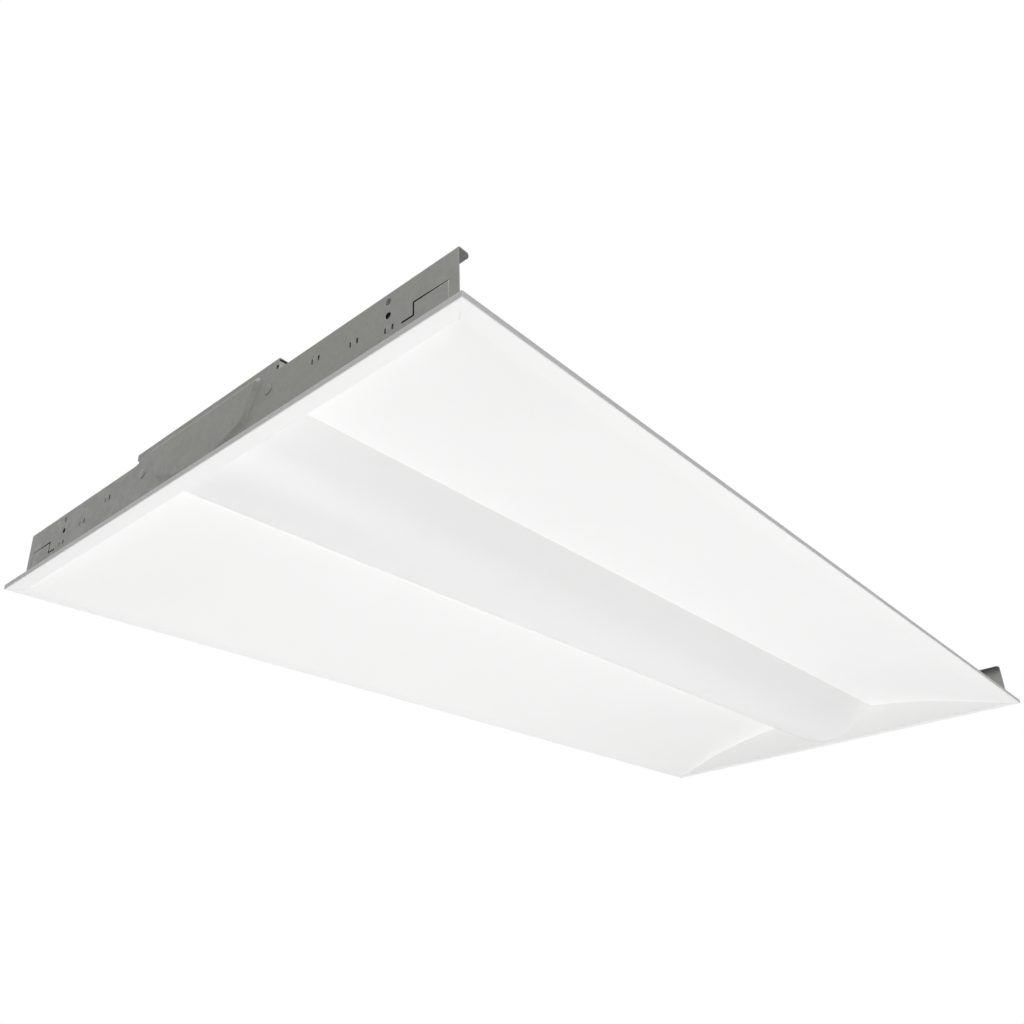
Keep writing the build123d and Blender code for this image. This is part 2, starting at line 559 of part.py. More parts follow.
# ---- centre channel: top web, walls, inward flanges with return lips, end ears -------
with BuildPart() as channel:
    with BuildSketch(Plane.YZ):
        with BuildLine() as channel_path:
            FilletPolyline(
                (CHANNEL_LIP_Y, LIP_TOP),
                (CHANNEL_LIP_Y, CHANNEL_FLANGE_Z),
                (CHANNEL_HALF, CHANNEL_FLANGE_Z),
                (CHANNEL_HALF, CHANNEL_TOP),
                (-CHANNEL_HALF, CHANNEL_TOP),
                (-CHANNEL_HALF, CHANNEL_FLANGE_Z),
                (-CHANNEL_LIP_Y, CHANNEL_FLANGE_Z),
                (-CHANNEL_LIP_Y, LIP_TOP),
                radius=BEND_RADIUS,
            )
        strip(channel_path, STEEL_SHEET, Side.LEFT)
    extrude(amount=CHANNEL_END_X, both=True)
    # the inward flanges stop short of the leaning end panels
    with BuildSketch(Plane.XY.offset(CHANNEL_FLANGE_Z - CUT)):
        for side in SIDES:
            with Locations((side * HALF_LENGTH, 0)):
                Rectangle(2 * (HALF_LENGTH - panel_x(PANEL_TOP)), 2 * CHANNEL_IN)
    extrude(amount=CHANNEL_TOP - STEEL_SHEET - CHANNEL_FLANGE_Z + CUT, mode=Mode.SUBTRACT)
    # ears folded in across each end, behind the plates' dimples
    for end in SIDES:
        for side in SIDES:
            with BuildSketch(Plane.YZ.offset(end * (CHANNEL_END_X - STEEL_SHEET / 2) - STEEL_SHEET / 2)):
                with Locations((side * (CHANNEL_IN - END_EAR_DEPTH / 2), (CHANNEL_FLANGE_Z + END_EAR_TOP) / 2)):
                    Rectangle(END_EAR_DEPTH, END_EAR_TOP - CHANNEL_FLANGE_Z)
            extrude(amount=STEEL_SHEET)
    # rivet holes in the return lips
    for side in SIDES:
        with BuildSketch(Plane.XZ.offset(-side * (CHANNEL_LIP_Y + STEEL_SHEET / 2))):
            with Locations([(x, LIP_RIVET_Z) for x in LIP_RIVET_XS]):
                RegularPolygon(RIVET_RADIUS + FLUSH_GAP, FASTENER_SIDES)
        extrude(amount=STEEL_SHEET, both=True, mode=Mode.SUBTRACT)
    # screw holes for the light tray
    with BuildSketch(Plane.XY.offset(CHANNEL_TOP - STEEL_SHEET)):
        with Locations([(x, side * SPACER_Y) for x in SPACER_STATIONS for side in SIDES]):
            RegularPolygon(SCREW_RADIUS + FLUSH_GAP, FASTENER_SIDES)
    extrude(amount=STEEL_SHEET, mode=Mode.SUBTRACT)
    # left wall: rivet holes for the driver housing and the grommet's hole
    with BuildSketch(Plane.XZ.offset(-CHANNEL_IN)):
        with Locations([(x, HOUSING_RIVET_Z) for x in HOUSING_RIVETS]):
            RegularPolygon(RIVET_RADIUS + FLUSH_GAP, FASTENER_SIDES)
        with Locations((GROMMET_X, GROMMET_Z)):
            RegularPolygon(GROMMET_RADIUS + FLUSH_GAP, 2 * FASTENER_SIDES)
    extrude(amount=-STEEL_SHEET, mode=Mode.SUBTRACT)
channel.part.label = "channel"
export_step(channel.part, "parts/channel.step")


# ---- rivets through the reflector lips and the channel's return lips -----------------
def rivet(start, direction, grip):
    """Flat-headed rivet: a head before start and a shank through the grip and a little past it."""
    plane = Plane(origin=start, x_dir=(1, 0, 0), z_dir=direction)
    with BuildPart() as body:
        with BuildSketch(plane.offset(-RIVET_HEAD)):
            RegularPolygon(RIVET_HEAD_RADIUS, FASTENER_SIDES)
        extrude(amount=RIVET_HEAD - FLUSH_GAP)
        with BuildSketch(plane.offset(-RIVET_HEAD)):
            RegularPolygon(RIVET_RADIUS, FASTENER_SIDES)
        extrude(amount=RIVET_HEAD + grip + RIVET_HEAD)
    return body.part


with BuildPart() as lip_rivets:
    for side in SIDES:
        for x in LIP_RIVET_XS:
            lip_grip = PAINTED_SHEET + FLUSH_GAP + STEEL_SHEET
            add(rivet((x, side * OPENING_HALF, LIP_RIVET_Z), (0, side, 0), lip_grip))
lip_rivets.part.label = "lip_rivets"
export_step(lip_rivets.part, "parts/lip_rivets.step")


# ---- light tray: the white pan over the lens that carries the light boards -----------
TRAY_HALF_LENGTH = panel_x(TRAY_TOP) - TRAY_EDGE_GAP
SPRING_RIVET_Y = LENS_HALF - LENS_WALL - PART_GAP - SPRING_FOOT / 2
BOARD_SCREWS = [
    (end * (BOARD_X + step * PACKAGE_PITCH), side * BOARD_Y)
    for end in SIDES
    for side in SIDES
    for step in BOARD_SCREW_STEPS
]
TRAY_SCREWS = [(x, side * SPACER_Y) for x in SPACER_STATIONS for side in SIDES]
SPRING_PLACES = [(x, side * SPRING_RIVET_Y) for x in SPRING_STATIONS for side in SIDES]
with BuildPart() as led_tray:
    with BuildSketch(Plane.YZ):
        with BuildLine() as tray_path:
            Polyline(
                (CHANNEL_IN - PART_GAP, TRAY_SHELF_Z),
                (TRAY_SHELF_Y, TRAY_SHELF_Z),
                (TRAY_WEB_HALF, TRAY_WEB_Z),
                (-TRAY_WEB_HALF, TRAY_WEB_Z),
                (-TRAY_SHELF_Y, TRAY_SHELF_Z),
                (-CHANNEL_IN + PART_GAP, TRAY_SHELF_Z),
            )
        strip(tray_path, PAINTED_SHEET)
    extrude(amount=TRAY_HALF_LENGTH, both=True)
    with BuildSketch(Plane.XY.offset(TRAY_SHELF_Z - CUT)):
        with Locations(BOARD_SCREWS + TRAY_SCREWS):
            RegularPolygon(SCREW_RADIUS + FLUSH_GAP, FASTENER_SIDES)
        with Locations(SPRING_PLACES):
            RegularPolygon(RIVET_RADIUS + FLUSH_GAP, FASTENER_SIDES)
    extrude(amount=TRAY_RISE + PAINTED_SHEET + 2 * CUT, mode=Mode.SUBTRACT)
led_tray.part.label = "led_tray"
export_step(led_tray.part, "parts/led_tray.step")

with BuildPart() as tray_spacers:
    with BuildSketch(Plane.XY.offset(TRAY_TOP + FLUSH_GAP)):
        with Locations(TRAY_SCREWS):
            RegularPolygon(SPACER_RADIUS, FASTENER_SIDES)
            RegularPolygon(SCREW_RADIUS + SCREW_CLEARANCE, FASTENER_SIDES, mode=Mode.SUBTRACT)
    extrude(amount=CHANNEL_TOP - STEEL_SHEET - TRAY_TOP - 2 * FLUSH_GAP)
tray_spacers.part.label = "tray_spacers"
export_step(tray_spacers.part, "parts/tray_spacers.step")


def pan_screws(places, seat_z, tip_z):
    """Upward screws with tapered heads that seat against the face at seat_z."""
    with BuildPart() as screws:
        with BuildSketch(Plane.XY.offset(seat_z - FLUSH_GAP)):
            with Locations(places):
                RegularPolygon(SCREW_HEAD_RADIUS, FASTENER_SIDES)
        extrude(amount=-SCREW_HEAD, taper=SCREW_HEAD_TAPER)
        with BuildSketch(Plane.XY.offset(seat_z - SCREW_HEAD / 2)):
            with Locations(places):
                RegularPolygon(SCREW_RADIUS, FASTENER_SIDES)
        extrude(amount=tip_z - seat_z + SCREW_HEAD / 2)
    return screws.part


with BuildPart() as tray_screws:
    add(pan_screws(TRAY_SCREWS, TRAY_WEB_Z, CHANNEL_TOP + STEEL_SHEET))
tray_screws.part.label = "tray_screws"
export_step(tray_screws.part, "parts/tray_screws.step")


# ---- light boards, their packages, connectors and screws -----------------------------
BOARD_NAMES = {
    "led_board_far_left": (1, 1),
    "led_board_far_right": (1, -1),
    "led_board_near_left": (-1, 1),
    "led_board_near_right": (-1, -1),
}
for board_name, (end, side) in BOARD_NAMES.items():
    with BuildPart() as led_board:
        with BuildSketch(Plane.XY.offset(BOARD_BOTTOM)):
            with Locations((end * BOARD_X, side * BOARD_Y)):
                Rectangle(BOARD_LENGTH, BOARD_WIDTH)
            with Locations([place for place in BOARD_SCREWS if place[0] * end > 0 and place[1] * side > 0]):
                RegularPolygon(SCREW_RADIUS + SCREW_CLEARANCE, FASTENER_SIDES, mode=Mode.SUBTRACT)
        extrude(amount=BOARD_THICKNESS)
    led_board.part.label = board_name
    export_step(led_board.part, "parts/" + board_name + ".step")

with BuildPart() as led_packages:
    with BuildSketch(Plane.XY.offset(BOARD_BOTTOM - PACKAGE_HEIGHT)):
        for end in SIDES:
            for side in SIDES:
                with Locations((end * BOARD_X, side * BOARD_Y)):
                    with GridLocations(PACKAGE_PITCH, 1, PACKAGE_COUNT, 1):
                        Rectangle(PACKAGE_LENGTH, PACKAGE_WIDTH)
    extrude(amount=PACKAGE_HEIGHT)
led_packages.part.label = "led_packages"
export_step(led_packages.part, "parts/led_packages.step")

CONNECTOR_X = BOARD_END_GAP + CONNECTOR_INSET + CONNECTOR_LENGTH / 2
with BuildPart() as board_connectors:
    for end in SIDES:
        for side in SIDES:
            with BuildSketch(Plane.XY.offset(BOARD_BOTTOM - CONNECTOR_HEIGHT)):
                with Locations((end * CONNECTOR_X, side * BOARD_Y)):
                    Rectangle(CONNECTOR_LENGTH, CONNECTOR_WIDTH)
            extrude(amount=CONNECTOR_HEIGHT)
    for end in SIDES:
        with BuildSketch(Plane.YZ.offset(end * (CONNECTOR_X - CONNECTOR_LENGTH / 2))):
            for side in SIDES:
                with Locations((side * BOARD_Y, BOARD_BOTTOM - CONNECTOR_HEIGHT / 2)):
                    with GridLocations(CONNECTOR_WIDTH / 2, 1, 2, 1):
                        Rectangle(PORT_SIZE, PORT_SIZE)
        extrude(amount=end * CONNECTOR_LENGTH / 2, mode=Mode.SUBTRACT)
board_connectors.part.label = "board_connectors"
export_step(board_connectors.part, "parts/board_connectors.step")

with BuildPart() as board_screws:
    add(pan_screws(BOARD_SCREWS, BOARD_BOTTOM, TRAY_TOP + STEEL_SHEET))
board_screws.part.label = "board_screws"
export_step(board_screws.part, "parts/board_screws.step")


# ---- lens: bulged diffuser with upright rims, its ends cut to the leaning panels -----
with BuildPart() as lens:
    with BuildSketch(Plane.YZ):
        with BuildLine() as lens_path:
            Line((-LENS_HALF, LENS_SHOULDER + LENS_RIM), (-LENS_HALF, LENS_SHOULDER))
            Line((-LENS_HALF, LENS_SHOULDER), (-LENS_BELLY_HALF, LENS_BOTTOM + LENS_BELLY_RISE))
            ThreePointArc(
                (-LENS_BELLY_HALF, LENS_BOTTOM + LENS_BELLY_RISE),
                (0, LENS_BOTTOM),
                (LENS_BELLY_HALF, LENS_BOTTOM + LENS_BELLY_RISE),
            )
            Line((LENS_BELLY_HALF, LENS_BOTTOM + LENS_BELLY_RISE), (LENS_HALF, LENS_SHOULDER))
            Line((LENS_HALF, LENS_SHOULDER), (LENS_HALF, LENS_SHOULDER + LENS_RIM))
        strip(lens_path, LENS_WALL, Side.LEFT)
    extrude(amount=HALF_LENGTH, both=True)
    shoulders = (
        lens.edges()
        .filter_by(Axis.X)
        .filter_by_position(Axis.Z, LENS_SHOULDER - PART_GAP, LENS_SHOULDER + PART_GAP)
    )
    fillet(shoulders, radius=LENS_CORNER)
    with BuildSketch(Plane.XZ):
        with BuildLine():
            Polyline(
                (panel_x(0) - LENS_END_GAP, 0),
                (panel_x(TAB_TOP) - LENS_END_GAP, TAB_TOP),
                (HALF_LENGTH + CUT, TAB_TOP),
                (HALF_LENGTH + CUT, 0),
                close=True,
            )
        make_face()
        mirror(about=Plane.YZ)
    extrude(amount=OPENING_HALF, both=True, mode=Mode.SUBTRACT)
lens.part.label = "lens"
export_step(lens.part, "parts/lens.step")


# ---- spring clips that grip the lens rims from inside --------------------------------
SPRING_TOP = TRAY_SHELF_Z - FLUSH_GAP
SPRING_LEG_Y = LENS_HALF - LENS_WALL - PART_GAP
with BuildPart() as lens_clips:
    for side in SIDES:
        with BuildSketch(Plane.YZ):
            with BuildLine() as spring_path:
                Polyline(
                    (side * (SPRING_LEG_Y - SPRING_FOOT), SPRING_TOP),
                    (side * SPRING_LEG_Y, SPRING_TOP),
                    (side * SPRING_LEG_Y, SPRING_TOP - SPRING_LEG),
                    (side * (SPRING_LEG_Y - SPRING_FLARE), SPRING_TOP - SPRING_LEG - SPRING_FLARE),
                )
            strip(spring_path, CLIP_STRIP, Side.RIGHT if side > 0 else Side.LEFT)
        extrude(amount=HALF_LENGTH, both=True)
    # the long strips are cut down to one short clip at each station
    with BuildSketch(Plane.XY.offset(LENS_BOTTOM)):
        with Locations(*[(x, 0) for x in SPRING_STATIONS]):
            Rectangle(SPRING_WIDTH, 2 * OPENING_HALF)
    extrude(amount=TAB_TOP, mode=Mode.INTERSECT)
    with BuildSketch(Plane.XY.offset(SPRING_TOP - CLIP_STRIP)):
        with Locations(SPRING_PLACES):
            RegularPolygon(RIVET_RADIUS + FLUSH_GAP, FASTENER_SIDES)
    extrude(amount=CLIP_STRIP, mode=Mode.SUBTRACT)
lens_clips.part.label = "lens_clips"
export_step(lens_clips.part, "parts/lens_clips.step")

with BuildPart() as clip_rivets:
    for x, y in SPRING_PLACES:
        spring_grip = CLIP_STRIP + FLUSH_GAP + PAINTED_SHEET
        add(rivet((x, y, SPRING_TOP - CLIP_STRIP), (0, 0, 1), spring_grip))
clip_rivets.part.label = "clip_rivets"
export_step(clip_rivets.part, "parts/clip_rivets.step")


# ---- driver housing: pan on the channel's left wall, open at the top for the cover ---
with BuildPart() as driver_housing:
    with BuildSketch(Plane.YZ):
        with BuildLine() as pan_path:
            Polyline(
                (HOUSING_IN_Y, HOUSING_TOP - HOUSING_FLANGE_DROP),
                (HOUSING_IN_Y, HOUSING_FLOOR),
                (HOUSING_OUT_Y, HOUSING_FLOOR),
                (HOUSING_OUT_Y, HOUSING_TOP),
            )
        strip(pan_path, STEEL_SHEET, Side.LEFT)
    extrude(amount=END_WALL_X, both=True)
    for end in SIDES:
        with BuildSketch(Plane.YZ.offset(end * (END_WALL_X - STEEL_SHEET / 2) - STEEL_SHEET / 2)):
            with Locations((HOUSING_MID_Y, (HOUSING_FLOOR + HOUSING_TOP) / 2)):
                Rectangle(HOUSING_WIDTH, HOUSING_TOP - HOUSING_FLOOR)
        extrude(amount=STEEL_SHEET)
        # inward tab that takes the cover's screw
        with BuildSketch(Plane.XY.offset(HOUSING_TOP - STEEL_SHEET)):
            with Locations((end * (END_WALL_X - COVER_TAB_DEPTH / 2), HOUSING_MID_Y)):
                Rectangle(COVER_TAB_DEPTH, COVER_TAB_WIDTH)
            with Locations((end * (END_WALL_X - COVER_SCREW_INSET), HOUSING_MID_Y)):
                RegularPolygon(SCREW_RADIUS + PART_GAP, FASTENER_SIDES, mode=Mode.SUBTRACT)
        extrude(amount=STEEL_SHEET)
    # holes in the wall flange for rivets and grommet
    with BuildSketch(Plane.XZ.offset(-HOUSING_IN_Y)):
        with Locations([(x, HOUSING_RIVET_Z) for x in HOUSING_RIVETS]):
            RegularPolygon(RIVET_RADIUS + FLUSH_GAP, FASTENER_SIDES)
        with Locations((GROMMET_X, GROMMET_Z)):
            RegularPolygon(GROMMET_RADIUS + FLUSH_GAP, 2 * FASTENER_SIDES)
    extrude(amount=-STEEL_SHEET, mode=Mode.SUBTRACT)
    # holes in the floor for the driver's screws and the earth screw
    with BuildSketch(Plane.XY.offset(HOUSING_FLOOR)):
        with Locations(
            (DRIVER_X - DRIVER_LENGTH / 2 - DRIVER_BASE_OVERHANG + COVER_SCREW_INSET, HOUSING_MID_Y),
            (DRIVER_X + DRIVER_LENGTH / 2 + DRIVER_BASE_OVERHANG - COVER_SCREW_INSET, HOUSING_MID_Y),
            (GROUND_X, HOUSING_IN_Y + GROUND_Y_FROM_WALL),
        ):
            RegularPolygon(SCREW_RADIUS + FLUSH_GAP, FASTENER_SIDES)
    extrude(amount=STEEL_SHEET, mode=Mode.SUBTRACT)
driver_housing.part.label = "driver_housing"
export_step(driver_housing.part, "parts/driver_housing.step")

with BuildPart() as housing_rivets:
    for x in HOUSING_RIVETS:
        wall_grip = HOUSING_IN_Y - CHANNEL_IN + STEEL_SHEET
        add(rivet((x, CHANNEL_IN + wall_grip, HOUSING_RIVET_Z), (0, -1, 0), wall_grip))
housing_rivets.part.label = "housing_rivets"
export_step(housing_rivets.part, "parts/housing_rivets.step")

# ---- rubber grommet where the leads pass from the housing into the channel -----------
with BuildPart() as wire_grommet:
    wall_span = HOUSING_IN_Y + STEEL_SHEET - CHANNEL_IN
    with BuildSketch(Plane.XZ.offset(-CHANNEL_IN + GROMMET_FLANGE + FLUSH_GAP)):
        with Locations((GROMMET_X, GROMMET_Z)):
            RegularPolygon(GROMMET_RADIUS, 2 * FASTENER_SIDES)
    extrude(amount=-wall_span - 2 * GROMMET_FLANGE - 2 * FLUSH_GAP)
    for start in (-CHANNEL_IN + GROMMET_FLANGE + FLUSH_GAP, -CHANNEL_IN - wall_span - FLUSH_GAP):
        with BuildSketch(Plane.XZ.offset(start)):
            with Locations((GROMMET_X, GROMMET_Z)):
                RegularPolygon(GROMMET_RADIUS + GROMMET_FLANGE, 2 * FASTENER_SIDES)
        extrude(amount=-GROMMET_FLANGE)
    with BuildSketch(Plane.XZ.offset(-CHANNEL_IN + GROMMET_FLANGE + CUT)):
        with Locations((GROMMET_X, GROMMET_Z)):
            RegularPolygon(GROMMET_BORE, 2 * FASTENER_SIDES)
    extrude(amount=-wall_span - 2 * GROMMET_FLANGE - 2 * CUT, mode=Mode.SUBTRACT)
wire_grommet.part.label = "wire_grommet"
export_step(wire_grommet.part, "parts/wire_grommet.step")

# ---- access cover with an outer skirt, the conduit hole and a closed knock-out -------
with BuildPart() as access_cover:
    with BuildSketch(Plane.YZ):
        with BuildLine() as cover_path:
            Polyline(
                (CHANNEL_HALF + PART_GAP, COVER_BOTTOM + STEEL_SHEET),
                (HOUSING_OUT_Y + PART_GAP + STEEL_SHEET, COVER_BOTTOM + STEEL_SHEET),
                (HOUSING_OUT_Y + PART_GAP + STEEL_SHEET, COVER_BOTTOM - COVER_SKIRT),
            )
        strip(cover_path, STEEL_SHEET)
    extrude(amount=END_WALL_X + STEEL_SHEET, both=True)
    with BuildSketch(Plane.XY.offset(COVER_BOTTOM)):
        with Locations(*[(end * (END_WALL_X - COVER_SCREW_INSET), HOUSING_MID_Y) for end in SIDES]):
            RegularPolygon(SCREW_RADIUS + SCREW_CLEARANCE, FASTENER_SIDES)
        # open conduit hole over the splices
        with Locations((CONDUIT_X, HOUSING_MID_Y)):
            Circle(CONDUIT_RADIUS)
        # closed knock-out: a ring slit left joined at two bridges
        with Locations((SLUG_X, HOUSING_MID_Y)):
            RegularPolygon(CONDUIT_RADIUS, SLUG_SIDES)
            RegularPolygon(CONDUIT_RADIUS - SLUG_SLIT, SLUG_SIDES, mode=Mode.SUBTRACT)
            Rectangle(2 * CONDUIT_RADIUS + CUT, SLUG_BRIDGE, mode=Mode.SUBTRACT)
    extrude(amount=STEEL_SHEET, mode=Mode.SUBTRACT)
access_cover.part.label = "access_cover"
export_step(access_cover.part, "parts/access_cover.step")


def down_screws(places, seat_z, tip_z, head_radius):
    """Downward screws with slotted hexagon heads that seat on the face at seat_z."""
    with BuildPart() as screws:
        with BuildSketch(Plane.XY.offset(seat_z + FLUSH_GAP)):
            with Locations(places):
                RegularPolygon(head_radius, 6)
        extrude(amount=SCREW_HEAD)
        with BuildSketch(Plane.XY.offset(seat_z + FLUSH_GAP + SCREW_HEAD / 2)):
            with Locations(places):
                Rectangle(2 * head_radius, SCREW_HEAD / 2)
        extrude(amount=SCREW_HEAD, mode=Mode.SUBTRACT)
        with BuildSketch(Plane.XY.offset(tip_z)):
            with Locations(places):
                RegularPolygon(SCREW_RADIUS, FASTENER_SIDES)
        extrude(amount=seat_z + FLUSH_GAP + SCREW_HEAD / 4 - tip_z)
    return screws.part


with BuildPart() as cover_screws:
    cover_screw_places = [(end * (END_WALL_X - COVER_SCREW_INSET), HOUSING_MID_Y) for end in SIDES]
    add(down_screws(cover_screw_places, COVER_BOTTOM + STEEL_SHEET, HOUSING_TOP - 4 * STEEL_SHEET, SCREW_HEAD_RADIUS))
cover_screws.part.label = "cover_screws"
export_step(cover_screws.part, "parts/cover_screws.step")


# ---- driver: base plate, case, terminals and screws ----------------------------------
BASE_BOTTOM = FLOOR_TOP + FLUSH_GAP
BASE_TOP = BASE_BOTTOM + DRIVER_BASE
DRIVER_SCREWS = [
    (DRIVER_X + end * (DRIVER_LENGTH / 2 + DRIVER_BASE_OVERHANG - COVER_SCREW_INSET), HOUSING_MID_Y) for end in SIDES
]
with BuildPart() as driver_base:
    with BuildSketch(Plane.XY.offset(BASE_BOTTOM)):
        with Locations((DRIVER_X, HOUSING_MID_Y)):
            Rectangle(DRIVER_LENGTH + 2 * DRIVER_BASE_OVERHANG, DRIVER_WIDTH)
        with Locations(DRIVER_SCREWS):
            RegularPolygon(SCREW_RADIUS + SCREW_CLEARANCE, FASTENER_SIDES, mode=Mode.SUBTRACT)
    extrude(amount=DRIVER_BASE)
driver_base.part.label = "driver_base"
export_step(driver_base.part, "parts/driver_base.step")

with BuildPart() as driver_case:
    with BuildSketch(Plane.XY.offset(BASE_TOP + FLUSH_GAP)):
        with Locations((DRIVER_X, HOUSING_MID_Y)):
            Rectangle(DRIVER_LENGTH, DRIVER_WIDTH)
    extrude(amount=DRIVER_HEIGHT)
    long_edges = driver_case.edges().filter_by(Axis.X).group_by(Axis.Z)[-1]
    fillet(long_edges, radius=DRIVER_CORNER)
    # terminal recesses at both ends
    for end in SIDES:
        with BuildSketch(Plane.XY.offset(BASE_TOP + FLUSH_GAP)):
            with Locations((DRIVER_X + end * DRIVER_LENGTH / 2, HOUSING_MID_Y)):
                Rectangle(2 * TERMINAL_LENGTH, TERMINAL_WIDTH + 2 * FLUSH_GAP)
        extrude(amount=TERMINAL_HEIGHT + FLUSH_GAP, mode=Mode.SUBTRACT)
driver_case.part.label = "driver_case"
export_step(driver_case.part, "parts/driver_case.step")

with BuildPart() as driver_terminals:
    for end in SIDES:
        terminal_mid = DRIVER_X + end * (DRIVER_LENGTH - TERMINAL_LENGTH) / 2
        with BuildSketch(Plane.XY.offset(BASE_TOP + FLUSH_GAP)):
            with Locations((terminal_mid, HOUSING_MID_Y)):
                Rectangle(TERMINAL_LENGTH - 2 * FLUSH_GAP, TERMINAL_WIDTH)
        extrude(amount=TERMINAL_HEIGHT)
    for end in SIDES:
        with BuildSketch(Plane.YZ.offset(DRIVER_X + end * DRIVER_LENGTH / 2)):
            with Locations((HOUSING_MID_Y, BASE_TOP + TERMINAL_HEIGHT / 2)):
                with GridLocations(TERMINAL_PITCH, 1, TERMINAL_PORTS, 1):
                    Rectangle(PORT_SIZE, PORT_SIZE)
        extrude(amount=-end * TERMINAL_LENGTH / 2, mode=Mode.SUBTRACT)
driver_terminals.part.label = "driver_terminals"
export_step(driver_terminals.part, "parts/driver_terminals.step")

with BuildPart() as driver_screws:
    add(down_screws(DRIVER_SCREWS, BASE_TOP, HOUSING_FLOOR - STEEL_SHEET / 2, SCREW_HEAD_RADIUS))
driver_screws.part.label = "driver_screws"
export_step(driver_screws.part, "parts/driver_screws.step")

with BuildPart() as ground_screw:
    ground_place = [(GROUND_X, HOUSING_IN_Y + GROUND_Y_FROM_WALL)]
    add(down_screws(ground_place, FLOOR_TOP, HOUSING_FLOOR - STEEL_SHEET / 2, GROUND_RADIUS))
ground_screw.part.label = "ground_screw"
export_step(ground_screw.part, "parts/ground_screw.step")
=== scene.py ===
"""Recessed troffer light: skins, fasteners and finishes over the frame, then light and camera.

Everything is in metres in the frame's own axes: X along the fixture, Y across it, Z up, with the
origin in the middle of the flange's underside. "far" is the +X end and "left" the +Y side.
"""

import logging
import math
from dataclasses import dataclass, field
from enum import Enum
from typing import Callable, Iterable, Sequence

import bpy
from mathutils import Matrix, Vector


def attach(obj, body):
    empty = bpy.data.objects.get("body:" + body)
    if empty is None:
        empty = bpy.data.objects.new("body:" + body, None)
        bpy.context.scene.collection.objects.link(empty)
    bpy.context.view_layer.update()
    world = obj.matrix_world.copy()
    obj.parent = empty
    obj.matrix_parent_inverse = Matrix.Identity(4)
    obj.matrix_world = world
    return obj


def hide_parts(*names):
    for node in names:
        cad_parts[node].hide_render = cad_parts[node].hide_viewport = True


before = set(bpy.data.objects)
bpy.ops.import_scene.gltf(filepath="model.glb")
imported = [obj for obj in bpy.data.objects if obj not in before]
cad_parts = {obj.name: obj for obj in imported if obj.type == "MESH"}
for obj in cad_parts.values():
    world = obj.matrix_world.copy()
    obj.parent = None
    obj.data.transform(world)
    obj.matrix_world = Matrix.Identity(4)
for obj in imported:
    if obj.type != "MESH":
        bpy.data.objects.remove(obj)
MM = 0.001
TINY = 1e-9
SAME = 1e-7
LOG = logging.getLogger("troffer")

Point = tuple[float, float, float]
Flat = tuple[float, float]
Tint = tuple[float, float, float]
Socket = bpy.types.NodeSocket
Piece = bpy.types.Object
Colour = Tint | Socket
Seat = tuple[Point, Point]


# ========================================
# Node graphs
# ========================================


